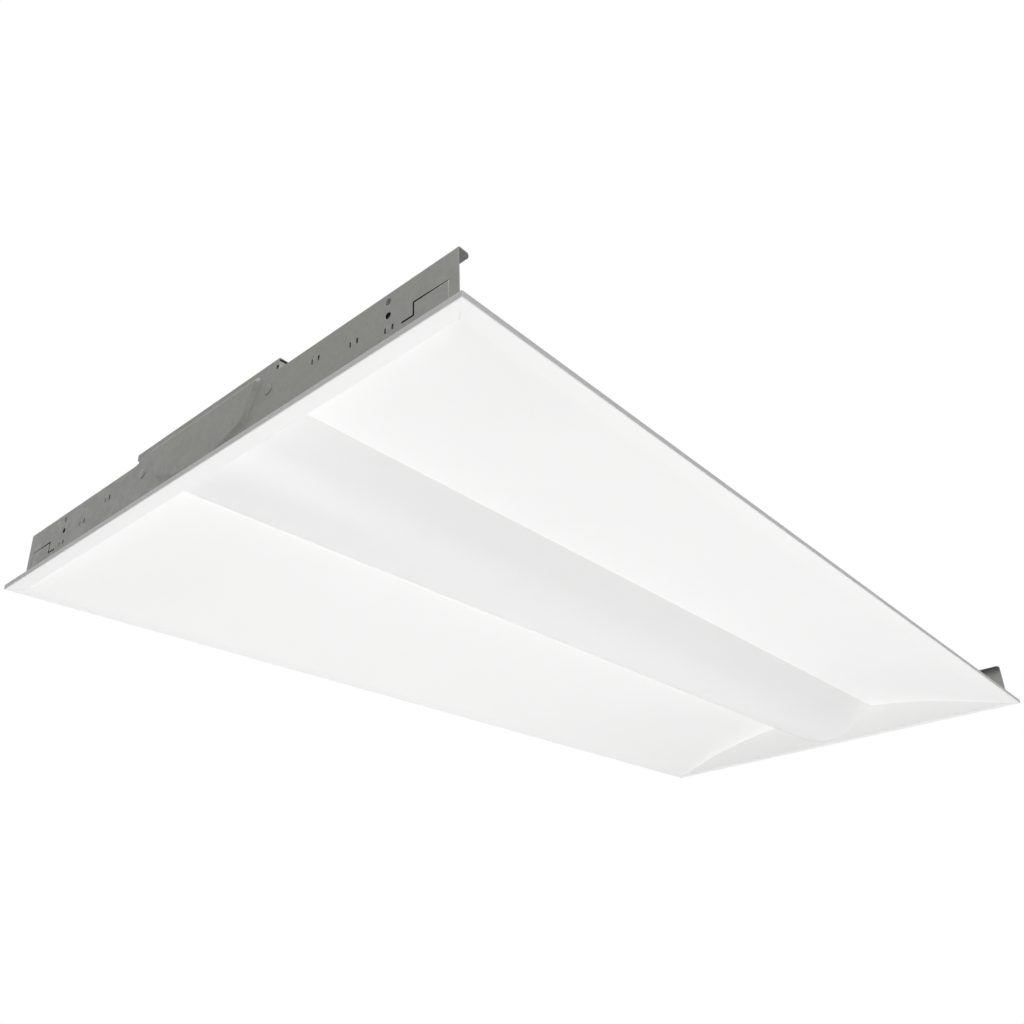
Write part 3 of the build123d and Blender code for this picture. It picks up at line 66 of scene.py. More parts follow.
class Graph:
    """A material's node tree, with short calls for the nodes that the finishes use."""

    mix_low = 6
    mix_high = 7
    mix_result = 2
    edge_turn: Flat = (0.80, 0.97)
    edge_samples = 4

    def __init__(self, name: str) -> None:
        """Starts an empty material that ends in one Principled shader.

        Args:
            name: The material's name.
        """
        self.material = bpy.data.materials.new(name)
        self.material.use_nodes = True
        self.tree = self.material.node_tree
        self.tree.nodes.clear()
        self.shader = self.tree.nodes.new("ShaderNodeBsdfPrincipled")
        output = self.tree.nodes.new("ShaderNodeOutputMaterial")
        self.tree.links.new(self.shader.outputs["BSDF"], output.inputs["Surface"])
        self.place = self.tree.nodes.new("ShaderNodeTexCoord").outputs["Object"]

    def link(self, source: Socket, target: Socket) -> None:
        """Joins two sockets."""
        self.tree.links.new(source, target)

    def steady(self, **values: float) -> None:
        """Sets shader inputs that are the same all over, by their names with _ for a space."""
        for name, value in values.items():
            self.shader.inputs[name.replace("_", " ")].default_value = value

    def stretched(self, scale: Point) -> Socket:
        """Object coordinates multiplied axis by axis.

        Args:
            scale: The three factors.

        Returns:
            The vector socket.
        """
        node = self.tree.nodes.new("ShaderNodeMapping")
        node.inputs["Scale"].default_value = scale
        self.link(self.place, node.inputs["Vector"])
        return node.outputs["Vector"]

    def noise(
        self, scale: float, detail: float = 3.0, rough: float = 0.5, where: Socket | None = None
    ) -> Socket:
        """Noise from 0 to 1.

        Args:
            scale: Features per metre.
            detail: Octaves.
            rough: How strong the fine octaves are.
            where: Coordinates, or None for the object's own.

        Returns:
            The value socket.
        """
        node = self.tree.nodes.new("ShaderNodeTexNoise")
        node.inputs["Scale"].default_value = scale
        node.inputs["Detail"].default_value = detail
        node.inputs["Roughness"].default_value = rough
        self.link(where or self.place, node.inputs["Vector"])
        return node.outputs["Fac"]

    def cells(self, scale: float, where: Socket | None = None) -> Socket:
        """One random value from 0 to 1 for each Voronoi cell, as spangle and grit have.

        Args:
            scale: Cells per metre.
            where: Coordinates, or None for the object's own.

        Returns:
            The value socket.
        """
        node = self.tree.nodes.new("ShaderNodeTexVoronoi")
        node.inputs["Scale"].default_value = scale
        self.link(where or self.place, node.inputs["Vector"])
        split = self.tree.nodes.new("ShaderNodeSeparateColor")
        self.link(node.outputs["Color"], split.inputs["Color"])
        return split.outputs["Red"]

    def span(self, value: Socket, low: float, high: float, out: Flat) -> Socket:
        """Maps one range to another, held at both ends.

        Args:
            value: The value socket.
            low: Where the range starts.
            high: Where it ends.
            out: What it starts and ends with afterwards.

        Returns:
            The new value socket.
        """
        node = self.tree.nodes.new("ShaderNodeMapRange")
        node.inputs["From Min"].default_value = low
        node.inputs["From Max"].default_value = high
        node.inputs["To Min"].default_value = out[0]
        node.inputs["To Max"].default_value = out[1]
        self.link(value, node.inputs["Value"])
        return node.outputs["Result"]

    def even(self, noise: Socket, out: Flat = (0.0, 1.0)) -> Socket:
        """Maps the middle stretch of a noise, where most of it lies, to out's two values."""
        return self.span(noise, 0.3, 0.7, out)

    def sum(self, first: Socket, second: Socket, how: str = "ADD") -> Socket:
        """One Math node over two values.

        Args:
            first: The first value.
            second: The second value.
            how: The node's operation.

        Returns:
            The value socket.
        """
        node = self.tree.nodes.new("ShaderNodeMath")
        node.operation = how
        self.link(first, node.inputs[0])
        self.link(second, node.inputs[1])
        return node.outputs["Value"]

    def blend(self, share: Socket, low: Colour, high: Colour) -> Socket:
        """A colour between two others.

        Args:
            share: How much of the high one it has, from 0 to 1.
            low: A plain colour or a colour socket.
            high: Another of either kind.

        Returns:
            The colour socket.
        """
        node = self.tree.nodes.new("ShaderNodeMix")
        node.data_type = "RGBA"
        self.link(share, node.inputs["Factor"])
        for number, colour in ((self.mix_low, low), (self.mix_high, high)):
            if isinstance(colour, tuple):
                node.inputs[number].default_value = (*colour, 1.0)
            else:
                self.link(colour, node.inputs[number])
        return node.outputs[self.mix_result]

    def facing_up(self) -> Socket:
        """How much a surface faces up, where dust can settle.

        Returns:
            The value socket, from -1 to 1.
        """
        geometry = self.tree.nodes.new("ShaderNodeNewGeometry")
        split = self.tree.nodes.new("ShaderNodeSeparateXYZ")
        self.link(geometry.outputs["Normal"], split.inputs["Vector"])
        return split.outputs["Z"]

    def warped(self, amount: float, scale: float) -> Socket:
        """Object coordinates pushed about by noise, so that cells get ragged outlines.

        Args:
            amount: How far points move, in metres.
            scale: The noise's features per metre.

        Returns:
            The vector socket.
        """
        noise = self.tree.nodes.new("ShaderNodeTexNoise")
        noise.inputs["Scale"].default_value = scale
        noise.inputs["Detail"].default_value = 3.0
        self.link(self.place, noise.inputs["Vector"])
        push = self.tree.nodes.new("ShaderNodeVectorMath")
        push.operation = "MULTIPLY_ADD"
        push.inputs[1].default_value = (amount, amount, amount)
        self.link(noise.outputs["Color"], push.inputs[0])
        self.link(self.place, push.inputs[2])
        return push.outputs["Vector"]

    def edges(self, radius: float = 0.0007) -> Socket:
        """How near a place is to a sharp edge, from 0 on flat stretches to 1 on the edge.

        Args:
            radius: How far from the edge it starts, in metres.

        Returns:
            The value socket.
        """
        round_off = self.tree.nodes.new("ShaderNodeBevel")
        round_off.samples = self.edge_samples
        round_off.inputs["Radius"].default_value = radius
        geometry = self.tree.nodes.new("ShaderNodeNewGeometry")
        turned = self.tree.nodes.new("ShaderNodeVectorMath")
        turned.operation = "DOT_PRODUCT"
        self.link(round_off.outputs["Normal"], turned.inputs[0])
        self.link(geometry.outputs["Normal"], turned.inputs[1])
        return self.span(turned.outputs["Value"], *self.edge_turn, (1.0, 0.0))

    def bump(self, height: Socket, depth: float, strength: float = 1.0) -> None:
        """Feeds the shader's normal from a height.

        Args:
            height: Value socket from 0 to 1.
            depth: Its full height in metres.
            strength: Share of the effect.
        """
        node = self.tree.nodes.new("ShaderNodeBump")
        node.inputs["Distance"].default_value = depth
        node.inputs["Strength"].default_value = strength
        self.link(height, node.inputs["Height"])
        self.link(node.outputs["Normal"], self.shader.inputs["Normal"])

    def colour(self, source: Socket) -> None:
        """Feeds the base colour."""
        self.link(source, self.shader.inputs["Base Color"])

    def roughness(self, source: Socket) -> None:
        """Feeds the roughness."""
        self.link(source, self.shader.inputs["Roughness"])


def shade(colour: Tint, factor: float) -> Tint:
    """A colour made lighter or darker by one factor."""
    return (colour[0] * factor, colour[1] * factor, colour[2] * factor)


# ========================================
# Finishes
# ========================================


@dataclass(frozen=True)
class PowderCoat:
    """Matte baked paint: faint orange peel, slight cloudiness, and dust where it faces up."""

    name: str
    tint: Tint
    cloud: float = 0.012
    gloss: Flat = (0.48, 0.58)
    shine: float = 0.28
    cloud_scale: float = 5.0
    gloss_scale: float = 22.0
    peel_depth: float = 0.00006
    peel_scale: float = 520.0
    dust: Tint = (0.66, 0.64, 0.60)
    dust_most: float = 0.16
    dust_scale: float = 60.0
    thin_most: float = 0.35
    thin_scale: float = 240.0
    thin_shade: float = 0.86

    def build(self) -> bpy.types.Material:
        """Makes the material.

        Returns:
            The painted material.
        """
        g = Graph(self.name)
        clouds = g.even(g.noise(self.cloud_scale, 4.0))
        low, high = shade(self.tint, 1 - self.cloud), shade(self.tint, 1 + self.cloud / 2)
        paint = g.blend(clouds, low, high)
        settled = g.span(g.facing_up(), 0.25, 0.9, (0.0, self.dust_most))
        patches = g.span(g.noise(self.dust_scale, 8.0, 0.7), 0.3, 0.8, (0.45, 1.0))
        dusty = g.blend(g.sum(settled, patches, "MULTIPLY"), paint, self.dust)
        worn = g.span(g.noise(self.thin_scale, 3.0), 0.4, 0.7, (0.0, self.thin_most))
        thin = g.sum(g.edges(), worn, "MULTIPLY")
        g.colour(g.blend(thin, dusty, shade(self.tint, self.thin_shade)))
        g.roughness(g.even(g.noise(self.gloss_scale, 4.0), self.gloss))
        g.bump(g.noise(self.peel_scale, 2.0), self.peel_depth)
        g.steady(Specular_IOR_Level=self.shine)
        return g.material


@dataclass(frozen=True)
class ZincSheet:
    """Galvanised sheet: two sizes of spangle, rolling streaks, handling marks and dull patches."""

    name: str
    tint: Tint
    spangle: float = 0.13
    spangle_scales: Flat = (110.0, 330.0)
    ragged: Flat = (0.004, 260.0)
    gloss: Flat = (0.34, 0.54)
    metal: float = 0.78
    streaks: Point = (1.0, 1.0, 40.0)
    streak_scale: float = 16.0
    streak_shades: Flat = (0.95, 1.05)
    scratches: Point = (1.0, 0.04, 1.0)
    scratch_scale: float = 900.0
    scratch_most: float = 0.3
    scratch_shade: float = 1.4
    dull_scale: float = 90.0
    dull_most: float = 0.16
    dull_shade: float = 1.12
    edge_most: float = 0.55
    edge_shade: float = 1.5
    grain_scale: float = 700.0
    grain_depth: float = 0.00003

    def build(self) -> bpy.types.Material:
        """Makes the material.

        Returns:
            The zinc-coated material.
        """
        g = Graph(self.name)
        ragged = g.warped(*self.ragged)
        coarse, fine = (g.cells(scale, ragged) for scale in self.spangle_scales)
        crystals = g.sum(g.span(coarse, 0.0, 1.0, (0.0, 0.6)), g.span(fine, 0.0, 1.0, (0.0, 0.4)))
        streak = g.even(g.noise(self.streak_scale, 6.0, 0.65, g.stretched(self.streaks)))
        low, high = shade(self.tint, 1 - self.spangle), shade(self.tint, 1 + self.spangle)
        spangled = g.blend(crystals, low, high)
        rolled = g.blend(streak, *(shade(self.tint, factor) for factor in self.streak_shades))
        metal = g.blend(g.span(g.noise(9.0, 3.0), 0.35, 0.65, (0.25, 0.4)), spangled, rolled)
        lines = g.noise(self.scratch_scale, 2.0, 0.5, g.stretched(self.scratches))
        scratch = g.span(lines, 0.70, 0.78, (0.0, self.scratch_most))
        scored = g.blend(scratch, metal, shade(self.tint, self.scratch_shade))
        dull = g.span(g.noise(self.dull_scale, 8.0, 0.7), 0.60, 0.76, (0.0, self.dull_most))
        clouded = g.blend(dull, scored, shade(self.tint, self.dull_shade))
        bright = g.span(g.edges(), 0.0, 1.0, (0.0, self.edge_most))
        g.colour(g.blend(bright, clouded, shade(self.tint, self.edge_shade)))
        rougher = g.span(dull, 0.0, self.dull_most, (0.0, 0.08))
        g.roughness(g.sum(g.span(coarse, 0.0, 1.0, self.gloss), rougher))
        grain = g.sum(g.span(fine, 0.0, 1.0, (0.0, 0.5)), g.noise(self.grain_scale, 2.0))
        g.bump(grain, self.grain_depth)
        g.steady(Metallic=self.metal)
        return g.material


@dataclass(frozen=True)
class FrostedPlastic:
    """Extruded frosted acrylic: a soft milky body with draw lines along its length."""

    name: str
    tint: Tint
    scatter: float = 0.35
    scatter_depth: float = 0.012
    gloss: Flat = (0.34, 0.42)
    draw: Point = (0.15, 9.0, 9.0)
    line_depth: float = 0.000012

    def build(self) -> bpy.types.Material:
        """Makes the material.

        Returns:
            The milky material.
        """
        g = Graph(self.name)
        haze = g.even(g.noise(4.0, 3.0))
        g.colour(g.blend(haze, shade(self.tint, 0.992), self.tint))
        lines = g.noise(60.0, 3.0, 0.5, g.stretched(self.draw))
        g.roughness(g.even(lines, self.gloss))
        g.bump(g.sum(lines, g.noise(2600.0, 1.0)), self.line_depth)
        g.steady(Subsurface_Weight=self.scatter, Subsurface_Scale=self.scatter_depth, IOR=1.49)
        g.shader.inputs["Subsurface Radius"].default_value = (1.0, 1.0, 0.95)
        return g.material


@dataclass(frozen=True)
class PlatedMetal:
    """Small turned, stamped or drawn metal pieces: bright plating with handling scuffs."""

    name: str
    tint: Tint
    gloss: Flat = (0.22, 0.42)
    metal: float = 0.9
    scuff_shades: Flat = (1.06, 0.82)

    def build(self) -> bpy.types.Material:
        """Makes the material.

        Returns:
            The plated material.
        """
        g = Graph(self.name)
        scuffs = g.span(g.noise(420.0, 5.0, 0.65), 0.35, 0.7, (0.0, 1.0))
        g.colour(g.blend(scuffs, *(shade(self.tint, factor) for factor in self.scuff_shades)))
        g.roughness(g.span(scuffs, 0.0, 1.0, self.gloss))
        g.bump(g.noise(1500.0, 2.0), 0.00001)
        g.steady(Metallic=self.metal)
        return g.material


@dataclass(frozen=True)
class BoardMask:
    """White solder mask over copper, with the traces' blocks just showing through."""

    name: str
    tint: Tint
    blocks_per_metre: float = 29.4
    gap: float = 0.012
    trace_depth: float = 0.00004

    def build(self) -> bpy.types.Material:
        """Makes the material.

        Returns:
            The circuit board material.
        """
        g = Graph(self.name)
        brick = g.tree.nodes.new("ShaderNodeTexBrick")
        brick.inputs["Scale"].default_value = self.blocks_per_metre
        brick.inputs["Mortar Size"].default_value = self.gap
        for name, factor in (("Color1", 1.0), ("Color2", 0.975), ("Mortar", 0.90)):
            brick.inputs[name].default_value = (*shade(self.tint, factor), 1.0)
        g.link(g.place, brick.inputs["Vector"])
        stain = g.span(g.noise(60.0, 4.0), 0.45, 0.75, (0.0, 0.25))
        g.colour(g.blend(stain, brick.outputs["Color"], shade(self.tint, 0.93)))
        g.roughness(g.even(g.noise(180.0, 3.0), (0.30, 0.42)))
        g.bump(brick.outputs["Fac"], self.trace_depth, 0.6)
        return g.material


@dataclass(frozen=True)
class Phosphor:
    """The gel over a light package: warm yellow with fine grains in it."""

    name: str
    tint: Tint

    def build(self) -> bpy.types.Material:
        """Makes the material.

        Returns:
            The gel material.
        """
        g = Graph(self.name)
        grains = g.cells(9000.0)
        g.colour(g.blend(grains, shade(self.tint, 0.9), shade(self.tint, 1.08)))
        g.roughness(g.even(g.noise(900.0, 2.0), (0.12, 0.24)))
        g.steady(Coat_Weight=0.6, Coat_Roughness=0.08)
        return g.material


@dataclass(frozen=True)
class Moulded:
    """Moulded plastic or rubber: a fine spark-eroded texture and slight flow marks."""

    name: str
    tint: Tint
    gloss: Flat = (0.40, 0.55)
    grain: float = 1800.0
    grain_depth: float = 0.00002
    flow: Point = (1.0, 3.0, 1.0)

    def build(self) -> bpy.types.Material:
        """Makes the material.

        Returns:
            The moulded material.
        """
        g = Graph(self.name)
        flow = g.even(g.noise(70.0, 3.0, 0.5, g.stretched(self.flow)))
        g.colour(g.blend(flow, shade(self.tint, 0.93), shade(self.tint, 1.03)))
        g.roughness(g.even(g.noise(260.0, 3.0), self.gloss))
        g.bump(g.noise(self.grain, 2.0), self.grain_depth)
        return g.material


class Coat(Enum):
    """The finishes of this fixture. Each value is the finish that paints it."""

    WHITE = PowderCoat("white_powder_coat", (0.875, 0.875, 0.871))
    ZINC = ZincSheet("galvanised_sheet", (0.246, 0.247, 0.232))
    ZINC_INSIDE = ZincSheet(
        "galvanised_channel",
        (0.34, 0.342, 0.33),
        streaks=(1.0, 40.0, 40.0),
        scratches=(0.04, 1.0, 1.0),
    )
    LENS = FrostedPlastic("frosted_acrylic", (0.935, 0.938, 0.924))
    RIVET = PlatedMetal("aluminium_rivet", (0.74, 0.75, 0.76), (0.28, 0.46))
    SCREW = PlatedMetal("zinc_plated_screw", (0.62, 0.62, 0.58))
    SPRING = PlatedMetal("spring_strip", (0.56, 0.57, 0.58), (0.18, 0.34))
    SOLDER = PlatedMetal("solder_tin", (0.70, 0.70, 0.70), (0.2, 0.38))
    BOARD = BoardMask("board_white_mask", (0.86, 0.87, 0.86))
    PACKAGE = Moulded("package_white_body", (0.88, 0.88, 0.86), (0.25, 0.35))
    GEL = Phosphor("phosphor_gel", (0.90, 0.72, 0.20))
    NYLON = Moulded("natural_nylon", (0.80, 0.79, 0.73))
    DRIVER = PowderCoat("driver_white_paint", (0.76, 0.77, 0.77), 0.02, (0.30, 0.40))
    TERMINAL = Moulded("terminal_plastic", (0.72, 0.72, 0.68))
    RUBBER = Moulded("black_rubber", (0.022, 0.022, 0.023), (0.6, 0.75), 900.0)
    # A flat black that paints the shade behind the end plates' slots, lower holes and clip slits.
    SHADE_FILL = Moulded("painted_shade_black", (0.035, 0.035, 0.037), (0.8, 0.95), 1400.0)
    EARTH = PlatedMetal("green_earth_screw", (0.06, 0.30, 0.10), (0.3, 0.45), 0.35)


class Paintbox:
    """Makes each finish once and hands it out."""

    def __init__(self) -> None:
        """Starts with nothing mixed."""
        self.mixed: dict[Coat, bpy.types.Material] = {}

    def get(self, coat: Coat) -> bpy.types.Material:
        """The material of a coat, made on first use.

        Args:
            coat: The coat.

        Returns:
            Its material.
        """
        if coat not in self.mixed:
            self.mixed[coat] = coat.value.build()
        return self.mixed[coat]

    def paint_node(self, node: str, coat: Coat) -> None:
        """Gives a carried-over CAD node a coat, in all its slots.

        Args:
            node: The node's name.
            coat: The coat it gets.
        """
        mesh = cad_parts[node].data
        if not mesh.materials:
            mesh.materials.append(None)
        for slot in range(len(mesh.materials)):
            mesh.materials[slot] = self.get(coat)


# ========================================
# Mesh helpers
# ========================================


@dataclass
class Shell:
    """Points and faces of one piece while it is being made."""

    points: list[Point] = field(default_factory=list)
    faces: list[tuple[int, ...]] = field(default_factory=list)
    tones: list[int] = field(default_factory=list)

    def point(self, where: Sequence[float]) -> int:
        """Adds a point and gives its number."""
        self.points.append((where[0], where[1], where[2]))
        return len(self.points) - 1

    def face(self, corners: Iterable[int], tone: int = 0) -> None:
        """Adds a face, with the number of its material."""
        self.faces.append(tuple(corners))
        self.tones.append(tone)

    def ring(self, places: Iterable[Sequence[float]]) -> list[int]:
        """Adds points in order and gives their numbers."""
        return [self.point(where) for where in places]

    def loft(self, rings: Sequence[Sequence[int]]) -> None:
        """Adds the closed band between each ring of points and the next one.

        Args:
            rings: Rings with equally many points.
        """
        for first, second in zip(rings, rings[1:]):
            for i, here in enumerate(first):
                j = (i + 1) % len(first)
                self.face((here, first[j], second[j], second[i]))

    def add(self, other: "Shell", move: Matrix | None = None) -> None:
        """Adds a copy of another shell.

        Args:
            other: The shell to copy.
            move: Where it goes, or None for where it is.
        """
        start = len(self.points)
        move = move or Matrix.Identity(4)
        self.points.extend(tuple(move @ Vector(p)) for p in other.points)
        turned = move.determinant() < 0
        for corners, tone in zip(other.faces, other.tones):
            shifted = [start + c for c in corners]
            self.face(reversed(shifted) if turned else shifted, tone)

    def piece(self, name: str, coats: Sequence[bpy.types.Material], sharp: float = 32.0) -> Piece:
        """Turns the shell into a shown object, smooth but for edges sharper than an angle.

        Args:
            name: The object's name.
            coats: Its materials, in the order of the faces' numbers.
            sharp: Degrees above which an edge stays crisp.

        Returns:
            The object, linked to the scene.
        """
        mesh = bpy.data.meshes.new(name)
        mesh.from_pydata(self.points, [], self.faces)
        mesh.update()
        for coat in coats:
            mesh.materials.append(coat)
        for polygon, tone in zip(mesh.polygons, self.tones):
            polygon.material_index = tone
            polygon.use_smooth = True
        mesh.set_sharp_from_angle(angle=math.radians(sharp))
        made = bpy.data.objects.new(name, mesh)
        bpy.context.scene.collection.objects.link(made)
        return made


def join_points(made: Piece, reach: float) -> None:
    """Joins points that lie nearer than reach, where faces only touch."""
    weld = made.modifiers.new("joined", "WELD")
    weld.merge_threshold = reach


def break_edges(made: Piece, width: float, angle: float) -> None:
    """Takes the sharpness off an object's edges.

    Args:
        made: The object.
        width: How much each edge loses.
        angle: Degrees above which an edge counts as one.
    """
    bevel = made.modifiers.new("broken_edge", "BEVEL")
    bevel.width = width
    bevel.segments = 2
    bevel.limit_method = "ANGLE"
    bevel.angle_limit = math.radians(angle)


def to_end(end: int) -> Matrix:
    """The half turn that takes a piece of the far end to the near one, or none."""
    return Matrix.Rotation(0.0 if end > 0 else math.pi, 4, "Z")


def circle(radius: float, sides: int) -> list[Flat]:
    """Evenly spaced points of a circle about the origin."""
    turns = (2 * math.pi * side / sides for side in range(sides))
    return [(radius * math.cos(angle), radius * math.sin(angle)) for angle in turns]


def smooth_step(value: float) -> float:
    """0 below 0, 1 above 1, and an even curve between."""
    t = min(1.0, max(0.0, value))
    return t * t * t * (t * (6 * t - 15) + 10)


def arc_points(centre: Flat, radius: float, start: float, end: float, count: int) -> list[Flat]:
    """Points of an arc, ends included.

    Args:
        centre: Its centre.
        radius: Its radius.
        start: First angle in degrees.
        end: Last angle in degrees.
        count: How many steps it has.

    Returns:
        count + 1 points.
    """
    found = []
    for step in range(count + 1):
        angle = math.radians(start + (end - start) * step / count)
        found.append((centre[0] + radius * math.cos(angle), centre[1] + radius * math.sin(angle)))
    return found


def offset_path(path: Sequence[Flat], thickness: float, right: bool = True) -> list[Flat]:
    """A path's copy one sheet away, mitred at its corners.

    Args:
        path: The visible face's points in order.
        thickness: The sheet's thickness.
        right: True if the sheet lies right of the path.

    Returns:
        As many points as the path has.
    """
    side = 1.0 if right else -1.0
    found = []
    for i, here in enumerate(path):
        before = path[max(0, i - 1)]
        after = path[min(len(path) - 1, i + 1)]
        normals = []
        for a, b in ((before, here), (here, after)):
            run = Vector((b[0] - a[0], b[1] - a[1]))
            if run.length > TINY:
                run.normalize()
                normals.append(Vector((run.y, -run.x)) * side)
        normal = sum(normals, Vector((0.0, 0.0)))
        normal.normalize()
        stretch = thickness / max(0.5, normal.dot(normals[0]))
        found.append((here[0] + normal.x * stretch, here[1] + normal.y * stretch))
    return found


def swept_sheet(
    front: Sequence[Flat],
    back: Sequence[Flat],
    reach: Callable[[Flat], Flat],
    place: Callable[[float, Flat], Point],
    steps: int,
) -> Shell:
    """A bent strip swept along an axis, with the strip's two ends and both cut ends closed.

    Args:
        front: Section points of the visible face.
        back: Section points of the other face, in the same order.
        reach: Lowest and highest place along the axis for a section point.
        place: The point in the frame for a place along the axis and a section point.
        steps: Divisions along the axis.

    Returns:
        The closed shell.
    """
    shell = Shell()
    section = list(front) + list(reversed(back))
    spans = [(flat, *reach(flat)) for flat in section]
    rings = [
        shell.ring(place(low + (high - low) * step / steps, flat) for flat, low, high in spans)
        for step in range(steps + 1)
    ]
    shell.loft(rings)
    count, half = len(section), len(front)
    for ring, forward in ((rings[0], False), (rings[-1], True)):
        for i in range(half - 1):
            corners = (ring[i], ring[i + 1], ring[count - 2 - i], ring[count - 1 - i])
            shell.face(corners if forward else tuple(reversed(corners)))
    return shell


def revolved(profile: Sequence[Flat], sides: int = 24) -> Shell:
    """A turned piece about its own Z from (radius, height) points, closed on its axis.

    Args:
        profile: Points from the top centre outwards and down.
        sides: Divisions round the axis.

    Returns:
        The shell.
    """
    shell = Shell()
    rings: list[list[int]] = []
    for radius, height in profile:
        flat = circle(radius, sides) if radius > TINY else [(0.0, 0.0)]
        rings.append(shell.ring((x, y, height) for x, y in flat))
    for upper, lower in zip(rings, rings[1:]):
        for side in range(sides):
            after = (side + 1) % sides
            corners = []
            for ring, index in ((upper, side), (lower, side), (lower, after), (upper, after)):
                number = ring[index % len(ring)]
                if number not in corners:
                    corners.append(number)
            if len(corners) > 2:
                shell.face(corners)
    return shell


def block(low: Point, high: Point, bevel: float = 0.0) -> Shell:
    """A box from corner to corner with its edges taken off.

    Args:
        low: Its lowest corner.
        high: Its highest corner.
        bevel: How much each edge loses.

    Returns:
        The closed shell.
    """
    shell = Shell()
    levels = ((low[2], bevel), (low[2] + bevel, 0.0), (high[2] - bevel, 0.0), (high[2], bevel))
    rings = []
    for height, inset in levels:
        x0, x1, y0, y1 = low[0] + inset, high[0] - inset, low[1] + inset, high[1] - inset
        cut = bevel - inset
        flat = (
            (x0 + cut, y0), (x1 - cut, y0), (x1, y0 + cut), (x1, y1 - cut),
            (x1 - cut, y1), (x0 + cut, y1), (x0, y1 - cut), (x0, y0 + cut),
        )
        rings.append(shell.ring((x, y, height) for x, y in flat))
    shell.face(reversed(rings[0]))
    shell.face(rings[-1])
    shell.loft(rings)
    return shell


# ========================================
# Shared sizes
# ========================================


@dataclass(frozen=True)
class FlangeSizes:
    """The rim and the visible cavity's surfaces, in metres."""

    half_length: float = 606.425 * MM
    half_width: float = 301.625 * MM
    lip: float = 5.0 * MM
    sheet: float = 0.6 * MM
    bend: float = 1.2 * MM
    end_fold: float = 592.525 * MM
    side_fold: float = 286.025 * MM
    cove_end: float = 88.3 * MM
    cove_rise: float = 40.4 * MM
    cove_sag: float = 5.4 * MM
    curl: float = 3.0 * MM
    lip_top: float = 53.0 * MM
    lean: float = 0.45
    edge_gap: float = 0.3 * MM
    bend_steps: int = 6
    bend_guard: float = 4.0 * MM

    def lip_path(self, half: float, fold: float) -> list[Flat]:
        """The visible face from the lip's rim round the bend and over the flange to the fold.

        Args:
            half: How far out the lip stands.
            fold: Where the flange ends.

        Returns:
            (distance out, z) points.
        """
        path: list[Flat] = [(half, self.lip), (half, self.lip * 0.5)]
        path += arc_points((half - self.bend, self.bend), self.bend, 0, -90, self.bend_steps)
        return path + [(fold + self.bend_guard, 0.0), (fold, 0.0)]

    def cove_circle(self) -> tuple[Flat, float]:
        """The cove section's circle, from its chord and sag.

        Returns:
            Its centre in (y, z) and its radius.
        """
        run, rise, sag = self.side_fold - self.cove_end, self.cove_rise, self.cove_sag
        chord = math.hypot(run, rise)
        radius = (chord * chord / 4 + sag * sag) / (2 * sag)
        tilt = math.atan2(rise, run)
        mid = ((self.side_fold + self.cove_end) / 2, rise / 2)
        back = radius - sag
        return (mid[0] - back * math.sin(tilt), mid[1] - back * math.cos(tilt)), radius

    def cove_z(self, y: float) -> float:
        """Height of the cove's visible face at a distance y from the centre line."""
        centre, radius = self.cove_circle()
        return centre[1] + math.sqrt(radius * radius - (y - centre[0]) ** 2)

    def panel_x(self, z: float) -> float:
        """How far out the inner end panel's visible face is at height z."""
        return self.end_fold - self.lean * z


@dataclass(frozen=True)
class SlotSizes:
    """The paired slots in the end plates that the end reflectors hook into."""

    stations: tuple[float, ...] = (144.7 * MM, 187.0 * MM, 223.1 * MM)
    pitch: float = 7.3 * MM
    width: float = 1.6 * MM
    height: float = 4.6 * MM
    over_cove: float = 8.3 * MM

    def mid_z(self, station: float) -> float:
        """Height of a pair's middle."""
        return RIM.cove_z(station) + self.over_cove

    def edges(self, station: float) -> tuple[float, float, float, float]:
        """The four places across the plate where a pair's slots start and end."""
        inner, outer = (self.pitch - self.width) / 2, (self.pitch + self.width) / 2
        return station - outer, station - inner, station + inner, station + outer


RIM = FlangeSizes()
SLOTS = SlotSizes()
SIDES = (1, -1)
MIRROR = Matrix.Scale(-1.0, 4, (0.0, 1.0, 0.0))


# ========================================
# White sheet metal
# ========================================


